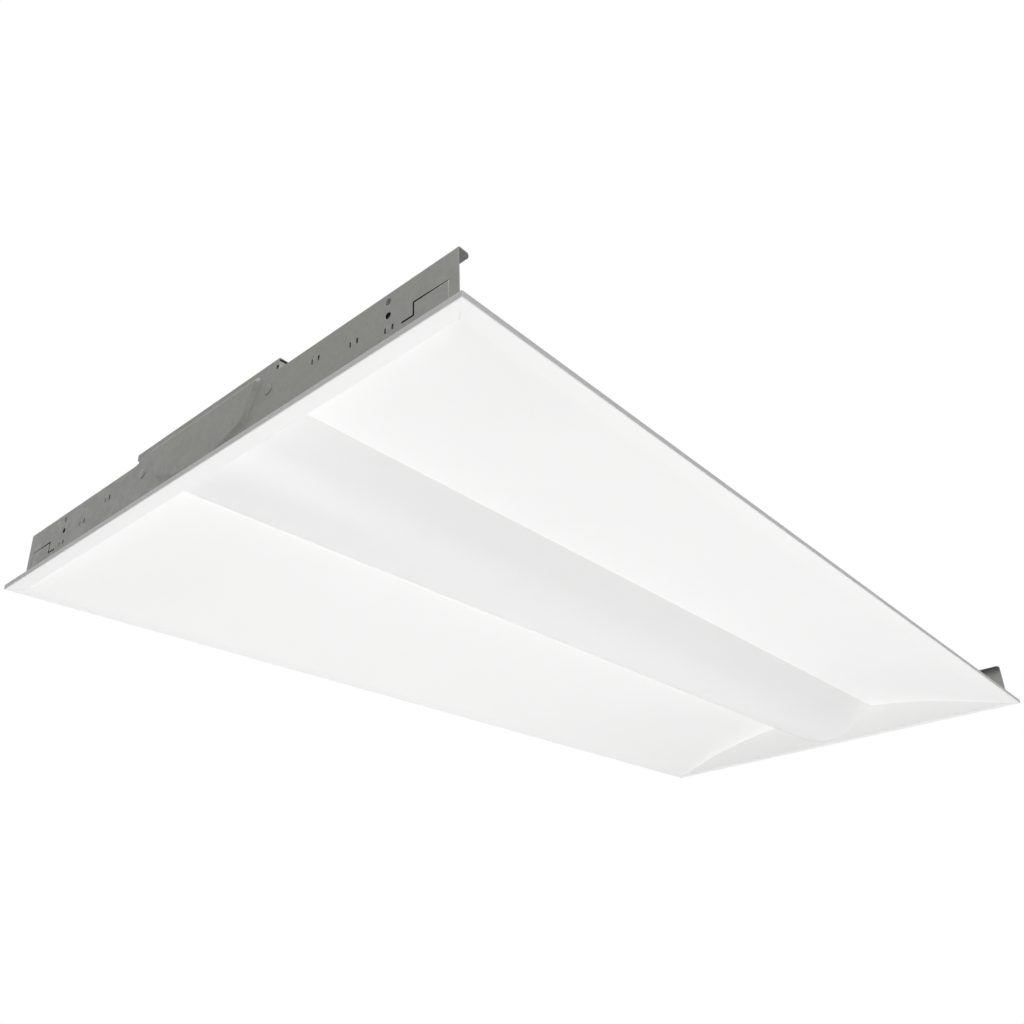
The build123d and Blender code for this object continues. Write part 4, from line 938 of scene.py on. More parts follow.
@dataclass
class ReflectorWing:
    """One long reflector: folded lip, flange, cove and the upturned edge beside the lens."""

    side: int
    rim: FlangeSizes = RIM
    cove_steps: int = 40
    length_steps: int = 24
    mitre_gap: float = 0.25 * MM
    fold_soft: float = 1.6 * MM
    fold_drop: float = 0.16 * MM

    @property
    def node(self) -> str:
        """The CAD node this stands for."""
        return "wing_left" if self.side > 0 else "wing_right"

    def section(self) -> list[Flat]:
        """The visible face from the lip's rim to the upturned edge's rim.

        Returns:
            (y, z) points.
        """
        r = self.rim
        centre, radius = r.cove_circle()
        start = math.degrees(math.atan2(-centre[1], r.side_fold - centre[0]))
        end = math.degrees(math.atan2(r.cove_rise - centre[1], r.cove_end - centre[0]))
        path = r.lip_path(r.half_width, r.side_fold + self.fold_soft)
        cove = arc_points(centre, radius, start, end, self.cove_steps)
        soft = [p for p in cove if p[0] < r.side_fold - self.fold_soft]
        path += [(r.side_fold, self.fold_drop)] + soft
        turned = math.radians(end)
        hub = (r.cove_end + r.curl * math.cos(turned), r.cove_rise + r.curl * math.sin(turned))
        path += arc_points(hub, r.curl, end + 180, 180, r.bend_steps)[1:]
        path += [(hub[0] - r.curl, (r.cove_rise + r.lip_top) / 2), (hub[0] - r.curl, r.lip_top)]
        return path

    def reach(self, flat: Flat) -> Flat:
        """How far the wing runs along X at a section point: mitred flange, leaning cove.

        Args:
            flat: The section point's (y, z).

        Returns:
            Its lowest and highest x.
        """
        r = self.rim
        y, z = flat
        lean = r.panel_x(z) - r.edge_gap
        share = (r.half_length - r.end_fold) / (r.half_width - r.side_fold)
        mitre = r.end_fold + (y - r.side_fold) * share - self.mitre_gap
        end = mitre if y > r.side_fold - 0.5 * MM else lean
        return -end, end

    def build(self, paints: Paintbox) -> Piece:
        """Builds and dresses the wing.

        Args:
            paints: Where the finish comes from.

        Returns:
            The wing's object.
        """
        front = self.section()
        back = offset_path(front, self.rim.sheet)

        def place(x: float, flat: Flat) -> Point:
            """Section point at a place along the fixture."""
            return (x * self.side, flat[0] * self.side, flat[1])

        shell = swept_sheet(front, back, self.reach, place, self.length_steps)
        wing = shell.piece(f"{self.node}_skin", [paints.get(Coat.WHITE)])
        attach(wing, "housing")
        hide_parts(self.node)
        return wing


@dataclass
class EndReflector:
    """One end's lip, flange, leaning inner panel and the hook tabs behind the end plate."""

    end: int
    rim: FlangeSizes = RIM
    panel_half: float = 97.4 * MM
    panel_top: float = 60.0 * MM
    over_cove: float = 5.0 * MM
    crest_fall: float = 0.02
    step_width: float = 0.05 * MM
    inner_columns: tuple[float, ...] = (0.0, 0.03, 0.06, 0.085)
    outer_from: float = 0.105
    outer_count: int = 16
    rows: int = 10
    tab_width: float = 5.0 * MM
    tab_x: float = 594.175 * MM
    tab_bend: float = 0.8 * MM
    tab_over_slot: float = 3.0 * MM
    tab_steps: int = 4
    flange_steps: int = 12

    @property
    def node(self) -> str:
        """The CAD node this stands for."""
        return "end_reflector_far" if self.end > 0 else "end_reflector_near"

    def crest(self, y: float) -> float:
        """The panel's top edge at a place across the fixture.

        Args:
            y: The place.

        Returns:
            Its height.
        """
        off, r = abs(y), self.rim
        if off <= self.panel_half:
            return self.panel_top
        share = (off - self.panel_half) / (r.side_fold - self.panel_half)
        over = self.over_cove * (1 - self.crest_fall * share)
        return max(r.lip, r.cove_z(min(off, r.side_fold)) + over)

    def columns(self) -> list[float]:
        """Places across the panel, with a double one where its top steps down.

        Returns:
            The places from right to left.
        """
        wide = self.rim.side_fold - self.outer_from
        half = [*self.inner_columns, self.panel_half, self.panel_half + self.step_width]
        half += [self.outer_from + wide * i / self.outer_count for i in range(self.outer_count + 1)]
        return [-y for y in reversed(half[1:])] + half

    def panel(self) -> Shell:
        """The leaning panel, a sheet between its front and back faces.

        Returns:
            The closed shell.
        """
        shell = Shell()
        columns = self.columns()
        normal = Vector((1.0, 0.0, self.rim.lean)).normalized() * self.rim.sheet
        grids = []
        for shift in (Vector((0.0, 0.0, 0.0)), normal):
            grid = []
            for y in columns:
                column = []
                for row in range(self.rows + 1):
                    z = self.crest(y) * row / self.rows
                    column.append(shell.point((self.rim.panel_x(z) + shift.x, y, z + shift.z)))
                grid.append(column)
            grids.append(grid)
        front, back = grids
        last = len(columns) - 1
        for i in range(last):
            for j in range(self.rows):
                shell.face((front[i][j], front[i][j + 1], front[i + 1][j + 1], front[i + 1][j]))
                shell.face((back[i][j], back[i + 1][j], back[i + 1][j + 1], back[i][j + 1]))
            for j, up in ((0, False), (self.rows, True)):
                corners = (front[i][j], back[i][j], back[i + 1][j], front[i + 1][j])
                shell.face(corners if up else tuple(reversed(corners)))
        for j in range(self.rows):
            shell.face((front[0][j], back[0][j], back[0][j + 1], front[0][j + 1]))
            shell.face((front[last][j], front[last][j + 1], back[last][j + 1], back[last][j]))
        return shell

    def flange(self) -> Shell:
        """Lip and flange up to the fold, mitred at both corners.

        Returns:
            The closed shell.
        """
        r = self.rim
        path = r.lip_path(r.half_length, r.end_fold)
        back = offset_path(path, r.sheet)
        share = (r.half_width - r.side_fold) / (r.half_length - r.end_fold)

        def reach(flat: Flat) -> Flat:
            """The mitre's place across the fixture at a section point."""
            end = r.side_fold + (flat[0] - r.end_fold) * share
            return -end, end

        def place(y: float, flat: Flat) -> Point:
            """Section point at a place across the fixture."""
            return (flat[0], -y, flat[1])

        return swept_sheet(path, back, reach, place, self.flange_steps)

    def hooks(self) -> Shell:
        """The tabs: a ledge from the panel to the end plate and a finger up behind it.

        Returns:
            All six of them.
        """

        def place(y: float, flat: Flat) -> Point:
            """Section point at a place across the fixture."""
            return (flat[0], y, flat[1])

        shell = Shell()
        sheet, bend = self.rim.sheet, self.tab_bend
        for station in SLOTS.stations:
            low = SLOTS.mid_z(station) - SLOTS.height / 2 - 2 * sheet - self.rim.edge_gap
            high = low + SLOTS.height + self.tab_over_slot
            path = [(self.rim.panel_x(low), low), (self.tab_x - bend, low)]
            path += arc_points((self.tab_x - bend, low + bend), bend, -90, 0, self.tab_steps)[1:]
            path += [(self.tab_x, high)]
            back = offset_path(path, sheet, right=False)
            reach = (station - self.tab_width / 2, station + self.tab_width / 2)
            hook = swept_sheet(path, back, lambda flat: reach, place, 1)
            shell.add(hook)
            shell.add(hook, MIRROR)
        return shell

    def build(self, paints: Paintbox) -> Piece:
        """Builds and dresses the end reflector.

        Args:
            paints: Where the finish comes from.

        Returns:
            Its object.
        """
        shell = Shell()
        for part in (self.panel(), self.flange(), self.hooks()):
            shell.add(part, to_end(self.end))
        made = shell.piece(f"{self.node}_skin", [paints.get(Coat.WHITE)])
        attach(made, "housing")
        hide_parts(self.node)
        return made


# ========================================
# Grey end plates and their clips
# ========================================


class Cell(Enum):
    """What one cell of a pressed sheet's grid holds."""

    GONE = "cut away"
    SHEET = "sheet"
    PATCH = "filled by a patch of its own"


@dataclass(frozen=True)
class Row:
    """One row of the bent sheet's outer face: where it runs and which way it faces there."""

    x: float
    z: float
    out: float
    up: float


@dataclass
class EndPlate:
    """One pressed end plate: foot, web, folded top edges, raised centre, slots and holes."""

    end: int
    outer_x: float = 595.025 * MM
    sheet: float = 0.8 * MM
    half: float = 288.4 * MM
    bottom: float = 0.65 * MM
    top: float = 57.6 * MM
    tab_half: float = 99.5 * MM
    tab_top: float = 68.0 * MM
    neck_half: float = 96.9 * MM
    neck_top: float = 61.2 * MM
    notch_half: float = 100.3 * MM
    fold: float = 1.2 * MM
    fold_in: float = 12.0 * MM
    fold_angles: tuple[float, ...] = (22.5, 45.0, 67.5, 90.0)
    fold_shares: tuple[float, ...] = (0.35, 0.68, 0.8, 0.9, 0.97, 1.0)
    foot_out: float = 9.5 * MM
    foot_half: float = 286.0 * MM
    corner: float = 4.0 * MM
    corner_from: float = 5.0 * MM
    press: float = 2.5 * MM
    press_rim: float = 5.4 * MM
    press_reach: Flat = (85.0 * MM, 66.0 * MM)
    flank: tuple[Flat, ...] = (
        (73.0, 57.4), (62.3, 35.5), (60.3, 32.0), (57.6, 29.6), (53.4, 27.4), (48.0, 25.2),
    )
    belly_from: Flat = (42.0, 23.0)
    belly_low: float = 14.9
    belly_steps: int = 16
    dimple: Flat = (87.7 * MM, 44.0 * MM)
    dimple_radius: float = 4.7 * MM
    dimple_out: float = 0.45 * MM
    dimple_gap: float = 0.02 * MM
    dimple_square: float = 6.0 * MM
    holes: tuple[Flat, ...] = ((221.8 * MM, 38.0 * MM), (221.8 * MM, 50.0 * MM))
    hole_radius: float = 2.7 * MM
    hole_square: float = 4.0 * MM
    hole_roll: float = 0.18 * MM
    strap_out: float = 0.22 * MM
    strap_steep: float = 2.4
    strap_share: float = 1.15
    strap_guard: float = 2.2 * MM
    clip_tip: float = 237.0 * MM
    clip_step: float = 247.6 * MM
    clip_hinge: float = 279.0 * MM
    clip_low: float = 7.0 * MM
    clip_mid: float = 23.2 * MM
    clip_high: float = 34.2 * MM
    slit: float = 1.6 * MM
    slit_thin: float = 0.6 * MM
    slit_guard: float = 0.4 * MM
    hairline: float = 0.12 * MM
    hinge_gap: float = 0.5 * MM
    ring_sides: int = 32
    row_from: float = 1.85 * MM
    row_pitch: float = 1.1 * MM
    row_count: int = 52
    tab_pitch: float = 1.2 * MM
    tab_count: int = 8
    column_pitch: float = 1.25 * MM
    column_count: int = 66
    far_columns: tuple[float, ...] = (104.7 * MM, 260.0 * MM)
    merge: float = 0.002 * MM
    slots: list[Flat] = field(init=False)
    rim_from: list[Flat] = field(init=False)
    rim_to: list[Flat] = field(init=False)

    def __post_init__(self) -> None:
        """Works out the slots' heights and the raised centre's outline."""
        self.slots = [(station, SLOTS.mid_z(station)) for station in SLOTS.stations]
        self.rim_from = self.outline()
        self.rim_to = self.rim_from[1:] + self.rim_from[:1]

    @property
    def node(self) -> str:
        """The CAD node this stands for."""
        return "end_plate_far" if self.end > 0 else "end_plate_near"

    def outline(self) -> list[Flat]:
        """The raised centre's floor: two flanks and a round belly between them.

        Returns:
            A closed run of (y, z) points in metres.
        """
        half, rise = self.belly_from[0], self.belly_from[1] - self.belly_low
        radius = (half**2 + rise**2) / (2 * rise)
        right = [*self.flank, self.belly_from]
        belly = []
        for step in range(1, self.belly_steps):
            y = half - 2 * half * step / self.belly_steps
            belly.append((y, self.belly_low + radius - math.sqrt(radius**2 - y**2)))
        left = [(-y, z) for y, z in reversed(right)]
        return [(y * MM, z * MM) for y, z in right + belly + left]

    def inside(self, y: float, z: float) -> float:
        """Distance from the raised floor's outline, above 0 inside it.

        Args:
            y: Place across the plate.
            z: Height.

        Returns:
            Metres.
        """
        best, within = 1.0, False
        for (ay, az), (by, bz) in zip(self.rim_from, self.rim_to):
            dy, dz = by - ay, bz - az
            t = min(1.0, max(0.0, ((y - ay) * dy + (z - az) * dz) / (dy * dy + dz * dz)))
            best = min(best, math.hypot(y - ay - t * dy, z - az - t * dz))
            if (az > z) != (bz > z) and y < (by - ay) * (z - az) / (bz - az) + ay:
                within = not within
        return best if within else -best

    def raised(self, y: float, z: float) -> float:
        """How far the web stands out of its plane: the pressed centre and the straps.

        Args:
            y: Place across the plate.
            z: Height.

        Returns:
            Metres.
        """
        height = 0.0
        if abs(y) < self.press_reach[0] and z < self.press_reach[1]:
            height = self.press * smooth_step(1.0 + self.inside(y, z) / self.press_rim)
        for station, mid in self.slots:
            if abs(abs(y) - station) < (SLOTS.pitch - SLOTS.width) / 2 + SAME:
                away = abs(z - mid) / (SLOTS.height / 2)
                share = self.strap_steep * (self.strap_share - away)
                height += self.strap_out * smooth_step(share)
        return height

    def slit_rise(self, y: float, z: float) -> float:
        """How much the clip's upper slit widens from its thin end to the step, at its top edge.

        Args:
            y: Place across the plate.
            z: Height.

        Returns:
            Metres, or 0 away from that edge.
        """
        start, end = self.clip_step - self.slit, self.clip_hinge + self.hinge_gap
        if abs(z - self.clip_high - self.slit_thin) > SAME or not start - SAME < y < end:
            return 0.0
        return (self.slit - self.slit_thin) * (end - y) / (end - start)

    def path_rows(self, top: float, breaks: Sequence[float]) -> list[Row]:
        """Rows of the bent sheet from the foot's rim over the web to the folded edge's rim.

        Args:
            top: The web's top face.
            breaks: Heights that need a row on the web.

        Returns:
            Rows of the outer face.
        """
        x, f = self.outer_x, self.fold
        inner = f - self.sheet
        low = self.bottom + self.sheet
        rows = [Row(x + self.foot_out, low, 0.0, 1.0), Row(x + inner, low, 0.0, 1.0)]
        for angle in reversed(self.fold_angles[:-1]):
            c, u = math.cos(math.radians(angle)), math.sin(math.radians(angle))
            rows.append(Row(x + inner - inner * c, low + inner - inner * u, c, u))
        heights = sorted({h for h in breaks if low + inner < h < top - f} | {low + inner, top - f})
        rows += [Row(x, h, 1.0, 0.0) for h in heights]
        for angle in self.fold_angles:
            c, u = math.cos(math.radians(angle)), math.sin(math.radians(angle))
            rows.append(Row(x - f + f * c, top - f + f * u, c, u))
        inward = ((self.fold_in - f) * share for share in self.fold_shares)
        return rows + [Row(x - f - reach, top, 0.0, 1.0) for reach in inward]

    def at_seam(self, y: float, row: Row) -> bool:
        """Whether the centre stretch and an outer one run on into each other at a cell's rim."""
        return abs(abs(y) - self.notch_half) < SAME and row.z < self.top - self.fold + SAME

    def pulled(self, y: float, row: Row, corners: Sequence[float], middle: float) -> float:
        """Where a point goes so that the folded edge's free corners are round.

        Args:
            y: The point's place across the plate.
            row: Its row.
            corners: The y of the free corners.
            middle: The y of the stretch's middle.

        Returns:
            Its new place.
        """
        over = row.x - (self.outer_x - self.fold_in)
        if row.up < 1.0 or over >= self.corner or row.z < self.top - self.fold:
            return y
        pull = self.corner - math.sqrt(max(0.0, self.corner**2 - (self.corner - over) ** 2))
        for edge in corners:
            if abs(y - edge) < TINY:
                return y - math.copysign(pull, edge - middle)
        return y

    def masked(
        self,
        columns: Sequence[float],
        rows: Sequence[Row],
        holds: Callable[[float, float, float], Cell],
        corners: Sequence[float],
    ) -> Shell:
        """A bent sheet of grid cells, with walls round every cell that is cut away.

        Args:
            columns: Places across the plate.
            rows: Rows from path_rows.
            holds: What a cell holds, from its middle's y, x and z.
            corners: The y of the folded edge's free corners, which are rounded.

        Returns:
            The closed shell.
        """
        shell = Shell()
        middle = sum(columns) / len(columns)
        outer: list[list[int]] = []
        inner: list[list[int]] = []
        for depth, grid in ((0.0, outer), (self.sheet, inner)):
            for y in columns:
                line = []
                for row in rows:
                    out = self.raised(y, row.z) if row.out == 1.0 else 0.0
                    z = row.z + self.slit_rise(y, row.z)
                    x = row.x + out - row.out * depth
                    across = self.pulled(y, row, corners, middle)
                    line.append(shell.point((x, across, z - row.up * depth)))
                grid.append(line)
        wide, tall = len(columns) - 1, len(rows) - 1
        cells = {
            (i, j): holds(
                (columns[i] + columns[i + 1]) / 2,
                (rows[j].x + rows[j + 1].x) / 2,
                (rows[j].z + rows[j + 1].z) / 2,
            )
            for i in range(wide)
            for j in range(tall)
        }
        for (i, j), cell in cells.items():
            if cell is not Cell.SHEET:
                continue
            shell.face((outer[i][j], outer[i + 1][j], outer[i + 1][j + 1], outer[i][j + 1]))
            shell.face((inner[i][j], inner[i][j + 1], inner[i + 1][j + 1], inner[i + 1][j]))
            walls = (
                ((i - 1, j), (i, j + 1), (i, j)),
                ((i + 1, j), (i + 1, j), (i + 1, j + 1)),
                ((i, j - 1), (i, j), (i + 1, j)),
                ((i, j + 1), (i + 1, j + 1), (i, j + 1)),
            )
            for beside, a, b in walls:
                if cells.get(beside, Cell.GONE) is not Cell.GONE:
                    continue
                if not 0 <= beside[0] < wide and self.at_seam(columns[a[0]], rows[j + 1]):
                    continue
                (ai, aj), (bi, bj) = a, b
                shell.face((outer[bi][bj], outer[ai][aj], inner[ai][aj], inner[bi][bj]))
        return shell

    def ringed(self, centre: Flat, radius: float, box: float) -> Shell:
        """The flat patch round a round hole, from a square's edge in to the hole.

        Args:
            centre: The hole's middle in (y, z).
            radius: The hole's radius.
            box: Half the square's side.

        Returns:
            The patch, with the hole's wall and its slightly rolled edge.
        """
        shell = Shell()
        (mid_y, mid_z), face, roll = centre, self.outer_x, self.hole_roll
        round_dirs = circle(1.0, self.ring_sides)
        square = [box / max(abs(c), abs(u)) for c, u in round_dirs]
        levels = (
            (square, face),
            ([radius + roll] * self.ring_sides, face),
            ([radius] * self.ring_sides, face - roll),
            ([radius] * self.ring_sides, face - self.sheet),
            (square, face - self.sheet),
        )
        loops = []
        for reaches, x in levels:
            spots = zip(reaches, round_dirs)
            loops.append(shell.ring((x, mid_y + r * c, mid_z + r * u) for r, (c, u) in spots))
        shell.loft(loops)
        return shell

    def disc(self) -> Shell:
        """The dimple: a pressed disc that stands a little out of the web.

        Returns:
            The disc about its own Z, with its sheet's face at height 0.
        """
        edge = self.dimple_radius - self.dimple_gap
        soft = ((0.35, 0.0), (0.1, -0.08), (0.0, -0.3))
        profile = [(0.0, 0.0)] + [(edge - back * MM, drop * MM) for back, drop in soft]
        return revolved([*profile, (edge, -self.sheet), (0.0, -self.sheet)], self.ring_sides)

    def breaks(self) -> list[float]:
        """Heights where the web's grid needs a row.

        Returns:
            The heights, in no order.
        """
        found = [self.row_from + i * self.row_pitch for i in range(self.row_count)]
        for _, mid in self.slots:
            found += [mid + k * SLOTS.height / 8 for k in range(-4, 5)]
        for _, z in self.holes:
            found += [z - self.hole_square, z + self.hole_square]
        found += [self.clip_low - self.hairline, self.clip_mid, self.clip_mid + self.slit]
        found += [self.dimple[1] - self.dimple_square, self.dimple[1] + self.dimple_square]
        slit_end = self.clip_high + self.slit + self.slit_guard
        return [h for h in found if not self.clip_high < h < slit_end] + [self.slit_top]

    @property
    def slit_top(self) -> float:
        """The upper slit's top edge at its thin end."""
        return self.clip_high + self.slit_thin

    @property
    def root(self) -> float:
        """Where the clip's window ends beside the clip's hinge."""
        return self.clip_hinge + self.hinge_gap

    def in_slot(self, y: float, z: float) -> bool:
        """Whether a place is in one of the paired slots.

        Args:
            y: Place across the plate.
            z: Height.

        Returns:
            True in a slot.
        """
        for station, mid in self.slots:
            first, second, third, fourth = SLOTS.edges(station)
            if abs(z - mid) < SLOTS.height / 2 and (first < y < second or third < y < fourth):
                return True
        return False

    def in_clip(self, y: float, z: float) -> bool:
        """Whether a place is in the clip's window: hairlines round its foot, slits above it.

        Args:
            y: Place across the plate.
            z: Height.

        Returns:
            True in the window.
        """
        if y >= self.root:
            return False
        if self.clip_low - self.hairline < z < self.clip_mid:
            return y > self.clip_tip - self.hairline
        if self.clip_mid <= z < self.clip_mid + self.slit:
            return y > self.clip_tip - self.slit
        return self.clip_mid + self.slit <= z < self.slit_top and y > self.clip_step - self.slit

    def outer_cell(self, y: float, x: float, z: float) -> Cell:
        """What a cell of the left outer stretch holds.

        Args:
            y: Its middle across the plate.
            x: Its middle along the fixture.
            z: Its middle's height.

        Returns:
            Sheet, nothing, or a hole's patch.
        """
        if x > self.outer_x + 0.5 * MM:
            return Cell.SHEET if y < self.foot_half else Cell.GONE
        if x < self.outer_x - self.fold:
            return Cell.SHEET
        if any(max(abs(y - cy), abs(z - cz)) < self.hole_square for cy, cz in self.holes):
            return Cell.PATCH
        return Cell.GONE if self.in_slot(y, z) or self.in_clip(y, z) else Cell.SHEET

    def middle_cell(self, y: float, x: float, z: float) -> Cell:
        """What a cell of the centre stretch with its tab holds.

        Args:
            y: Its middle across the plate.
            x: Its middle along the fixture.
            z: Its middle's height.

        Returns:
            Sheet, nothing, or a dimple's patch.
        """
        off = abs(y)
        if z >= self.top:
            half = self.neck_half if z < self.neck_top else self.tab_half
            return Cell.SHEET if off < half else Cell.GONE
        away = max(abs(off - self.dimple[0]), abs(z - self.dimple[1]))
        on_web = x > self.outer_x - self.fold
        return Cell.PATCH if away < self.dimple_square and on_web else Cell.SHEET

    def outer_stretch(self) -> Shell:
        """The plate left of its raised tab.

        Returns:
            Its shell.
        """
        columns = {self.notch_half, self.half, self.half - self.corner_from, self.foot_half}
        columns |= {self.clip_tip - self.slit, self.clip_tip - self.hairline}
        columns |= {self.clip_step - self.slit, self.root, *self.far_columns}
        guard = SLOTS.pitch / 2 + self.strap_guard
        for station in SLOTS.stations:
            columns |= {*SLOTS.edges(station), station - guard, station + guard}
        for y, _ in self.holes:
            columns |= {y - self.hole_square, y + self.hole_square}
        rows = self.path_rows(self.top, self.breaks())
        return self.masked(sorted(columns), rows, self.outer_cell, (self.notch_half, self.half))

    def centre_stretch(self) -> Shell:
        """The pressed centre with the raised tab above it.

        Returns:
            Its shell.
        """
        columns = {self.notch_half, self.tab_half, self.neck_half, self.tab_half - self.corner_from}
        columns |= {self.dimple[0] - self.dimple_square, self.dimple[0] + self.dimple_square}
        columns |= {i * self.column_pitch for i in range(self.column_count)}
        heights = self.breaks() + [self.top - self.fold, self.neck_top]
        heights += [self.top + i * self.tab_pitch for i in range(self.tab_count)]
        rows = self.path_rows(self.tab_top, heights)
        places = sorted({-y for y in columns} | columns)
        return self.masked(places, rows, self.middle_cell, (-self.tab_half, self.tab_half))

    def whole(self) -> Shell:
        """The whole plate at the far end.

        Returns:
            Its shell.
        """
        shell = Shell()
        side = self.outer_stretch()
        shell.add(side)
        shell.add(side, MIRROR)
        shell.add(self.centre_stretch())
        outward = Matrix.Rotation(math.pi / 2, 4, "Y")
        for half in SIDES:
            for y, z in self.holes:
                shell.add(self.ringed((half * y, z), self.hole_radius, self.hole_square))
            y, z = half * self.dimple[0], self.dimple[1]
            shell.add(self.ringed((y, z), self.dimple_radius, self.dimple_square))
            lifted = Matrix.Translation((self.outer_x + self.dimple_out, y, z))
            shell.add(self.disc(), lifted @ outward)
        return shell

    def build(self, paints: Paintbox) -> Piece:
        """Builds and dresses the plate.

        Args:
            paints: Where the finish comes from.

        Returns:
            The plate's object.
        """
        shell = Shell()
        shell.add(self.whole(), to_end(self.end))
        plate = shell.piece(f"{self.node}_pressing", [paints.get(Coat.ZINC)], 28.0)
        join_points(plate, self.merge)
        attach(plate, "housing")
        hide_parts(self.node)
        return plate


@dataclass
class ShadePad:
    """Thin black pads behind the slots, the lower hole and the clip: painted shade, so that these
    openings look dark.
    """

    end: int
    face: float = 593.45 * MM
    thick: float = 2.0 * MM
    soft: float = 0.5 * MM
    run: tuple[Flat, ...] = (
        (213, 22.9), (230, 22.9), (230, 20.5), (283.5, 20.5), (283.5, 43.5), (213, 43.5),
    )
    far_edge: float = 266.0
    patch_count: int = 2
    patch_half: float = 7.0 * MM
    patch_low: float = 5.4 * MM
    patch_high: float = 14.5 * MM

    def pad(self) -> Shell:
        """One pad of painted shade at the far end's left corner, with its edges pressed round.

        The far end's own pads stop short of the corner, where the photo shows bare sheet.

        Returns:
            The closed shell.
        """
        shell = Shell()
        edge = self.far_edge if self.end > 0 else self.run[3][0]
        run = [(min(y, edge), z) for y, z in self.run]
        mid_y, mid_z = (run[4][0] + run[2][0]) / 2, (run[4][1] + run[1][1]) / 2
        thick, soft = self.thick, self.soft
        rings = []
        for inset, depth in ((soft, 0.0), (0.0, soft), (0.0, thick - soft), (soft, thick)):
            ring = []
            for y, z in run:
                across = y * MM + math.copysign(inset, mid_y - y)
                up = z * MM + math.copysign(inset, mid_z - z)
                ring.append(shell.point((self.face - depth, across, up)))
            rings.append(ring)
        shell.loft(rings)
        for ring, front in ((rings[0], True), (rings[-1], False)):
            for quad in ((0, 1, 4, 5), (1, 2, 3, 4)):
                corners = [ring[k] for k in quad]
                shell.face(reversed(corners) if front else corners)
        # The blocks behind the first two slot pairs are painted shade too.
        for station in SLOTS.stations[: self.patch_count]:
            base = RIM.cove_z(station)
            low = (self.face - thick, station - self.patch_half, base + self.patch_low)
            high = (self.face, station + self.patch_half, base + self.patch_high)
            shell.add(block(low, high, soft))
        return shell

    def build(self, paints: Paintbox) -> Piece:
        """Builds and dresses both painted-shade pads of one end.

        Args:
            paints: Where the finish comes from.

        Returns:
            The pads' object.
        """
        shell = Shell()
        shell.add(self.pad(), to_end(self.end))
        shell.add(self.pad(), to_end(self.end) @ MIRROR)
        which = "far" if self.end > 0 else "near"
        # Black pads standing for the shade behind the end plate's openings.
        made = shell.piece(f"shade_pads_{which}", [paints.get(Coat.SHADE_FILL)], 50.0)
        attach(made, "housing")
        return made


@dataclass
class GridClip:
    """A stepped tongue in an end plate, with its sheared edges just broken."""

    node: str
    merge: float = 0.005 * MM
    edge: float = 0.07 * MM
    edge_angle: float = 50.0

    def build(self, paints: Paintbox) -> Piece:
        """Dresses the CAD tongue, whose outline is already right.

        Args:
            paints: Where the finish comes from.

        Returns:
            The tongue's object.
        """
        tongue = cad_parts[self.node]
        paints.paint_node(self.node, Coat.ZINC)
        join_points(tongue, self.merge)
        break_edges(tongue, self.edge, self.edge_angle)
        return tongue


# ========================================
# Lens
# ========================================


@dataclass
class BulgedLens:
    """The frosted diffuser: upright rims, straight flanks and a round belly."""

    rim: FlangeSizes = RIM
    half: float = 84.384 * MM
    wall: float = 2.0 * MM
    bottom: float = 4.5 * MM
    belly_half: float = 54.7 * MM
    belly_rise: float = 18.03 * MM
    shoulder: float = 44.5 * MM
    rim_height: float = 7.5 * MM
    corner: float = 2.5 * MM
    end_gap: float = 0.8 * MM
    saw_edge: float = 0.2 * MM
    saw_angle: float = 60.0
    belly_steps: int = 36
    corner_steps: int = 6
    length_steps: int = 24

    def section(self) -> list[Flat]:
        """The outer face from rim to rim.

        Returns:
            (y, z) points.
        """
        rise, chord = self.belly_rise, self.belly_half
        radius = (chord * chord + rise * rise) / (2 * rise)
        half_angle = math.degrees(math.asin(chord / radius))
        start, end = -90 - half_angle, -90 + half_angle
        belly = arc_points((0.0, self.bottom + radius), radius, start, end, self.belly_steps)
        flank = Vector((self.half - chord, self.shoulder - self.bottom - rise))
        turn = math.atan2(flank.x, flank.y)
        hub = (self.half - self.corner, self.shoulder + self.corner * math.tan(turn / 2))
        rounded = arc_points(hub, self.corner, -math.degrees(turn), 0, self.corner_steps)
        rim = [(self.half, self.shoulder + self.rim_height * share) for share in (0.5, 1.0)]
        right = belly[len(belly) // 2 :] + rounded + rim
        left = [(-y, z) for y, z in reversed(right[1:])]
        return left + right

    def build(self, paints: Paintbox) -> Piece:
        """Builds and dresses the lens.

        Args:
            paints: Where the finish comes from.

        Returns:
            The lens's object.
        """
        front = self.section()
        back = offset_path(front, self.wall, right=False)

        def reach(flat: Flat) -> Flat:
            """Both ends lean with the inner end panels."""
            end = self.rim.panel_x(flat[1]) - self.end_gap
            return -end, end

        def place(x: float, flat: Flat) -> Point:
            """Section point at a place along the fixture."""
            return (-x, flat[0], flat[1])

        shell = swept_sheet(front, back, reach, place, self.length_steps)
        made = shell.piece("lens_diffuser", [paints.get(Coat.LENS)])
        break_edges(made, self.saw_edge, self.saw_angle)
        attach(made, "lens")
        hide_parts("lens")
        return made


# ========================================
# Fasteners
# ========================================


class Drive(Enum):
    """What a screw's head is turned with."""

    CROSS = "cross"
    SLOT = "slot"


@dataclass(frozen=True)
class BlindRivet:
    """A domed rivet with the broken pin's dimple, and its swelled tail."""

    head: float = 2.6 * MM
    dome: float = 0.5 * MM
    shank: float = 1.45 * MM
    grip: float = 1.45 * MM
    sides: int = 20

    def shell(self) -> Shell:
        """The rivet with its head's seat at height 0 and its shank going down.

        Returns:
            The shell.
        """
        h, d, s, g = self.head, self.dome, self.shank, self.grip
        profile = (
            (0.0, 0.35 * d), (0.5 * MM, 0.35 * d), (0.62 * MM, d), (0.55 * h, d), (0.8 * h, 0.78 * d),
            (0.95 * h, 0.42 * d), (h, 0.1 * d), (h, 0.0), (s, 0.0), (s, -g - 0.05 * MM),
            (1.3 * s, -g - 0.12 * MM), (1.35 * s, -g - 0.35 * MM),
            (s, -g - 0.5 * MM), (0.0, -g - 0.5 * MM),
        )
        return revolved(profile, self.sides)


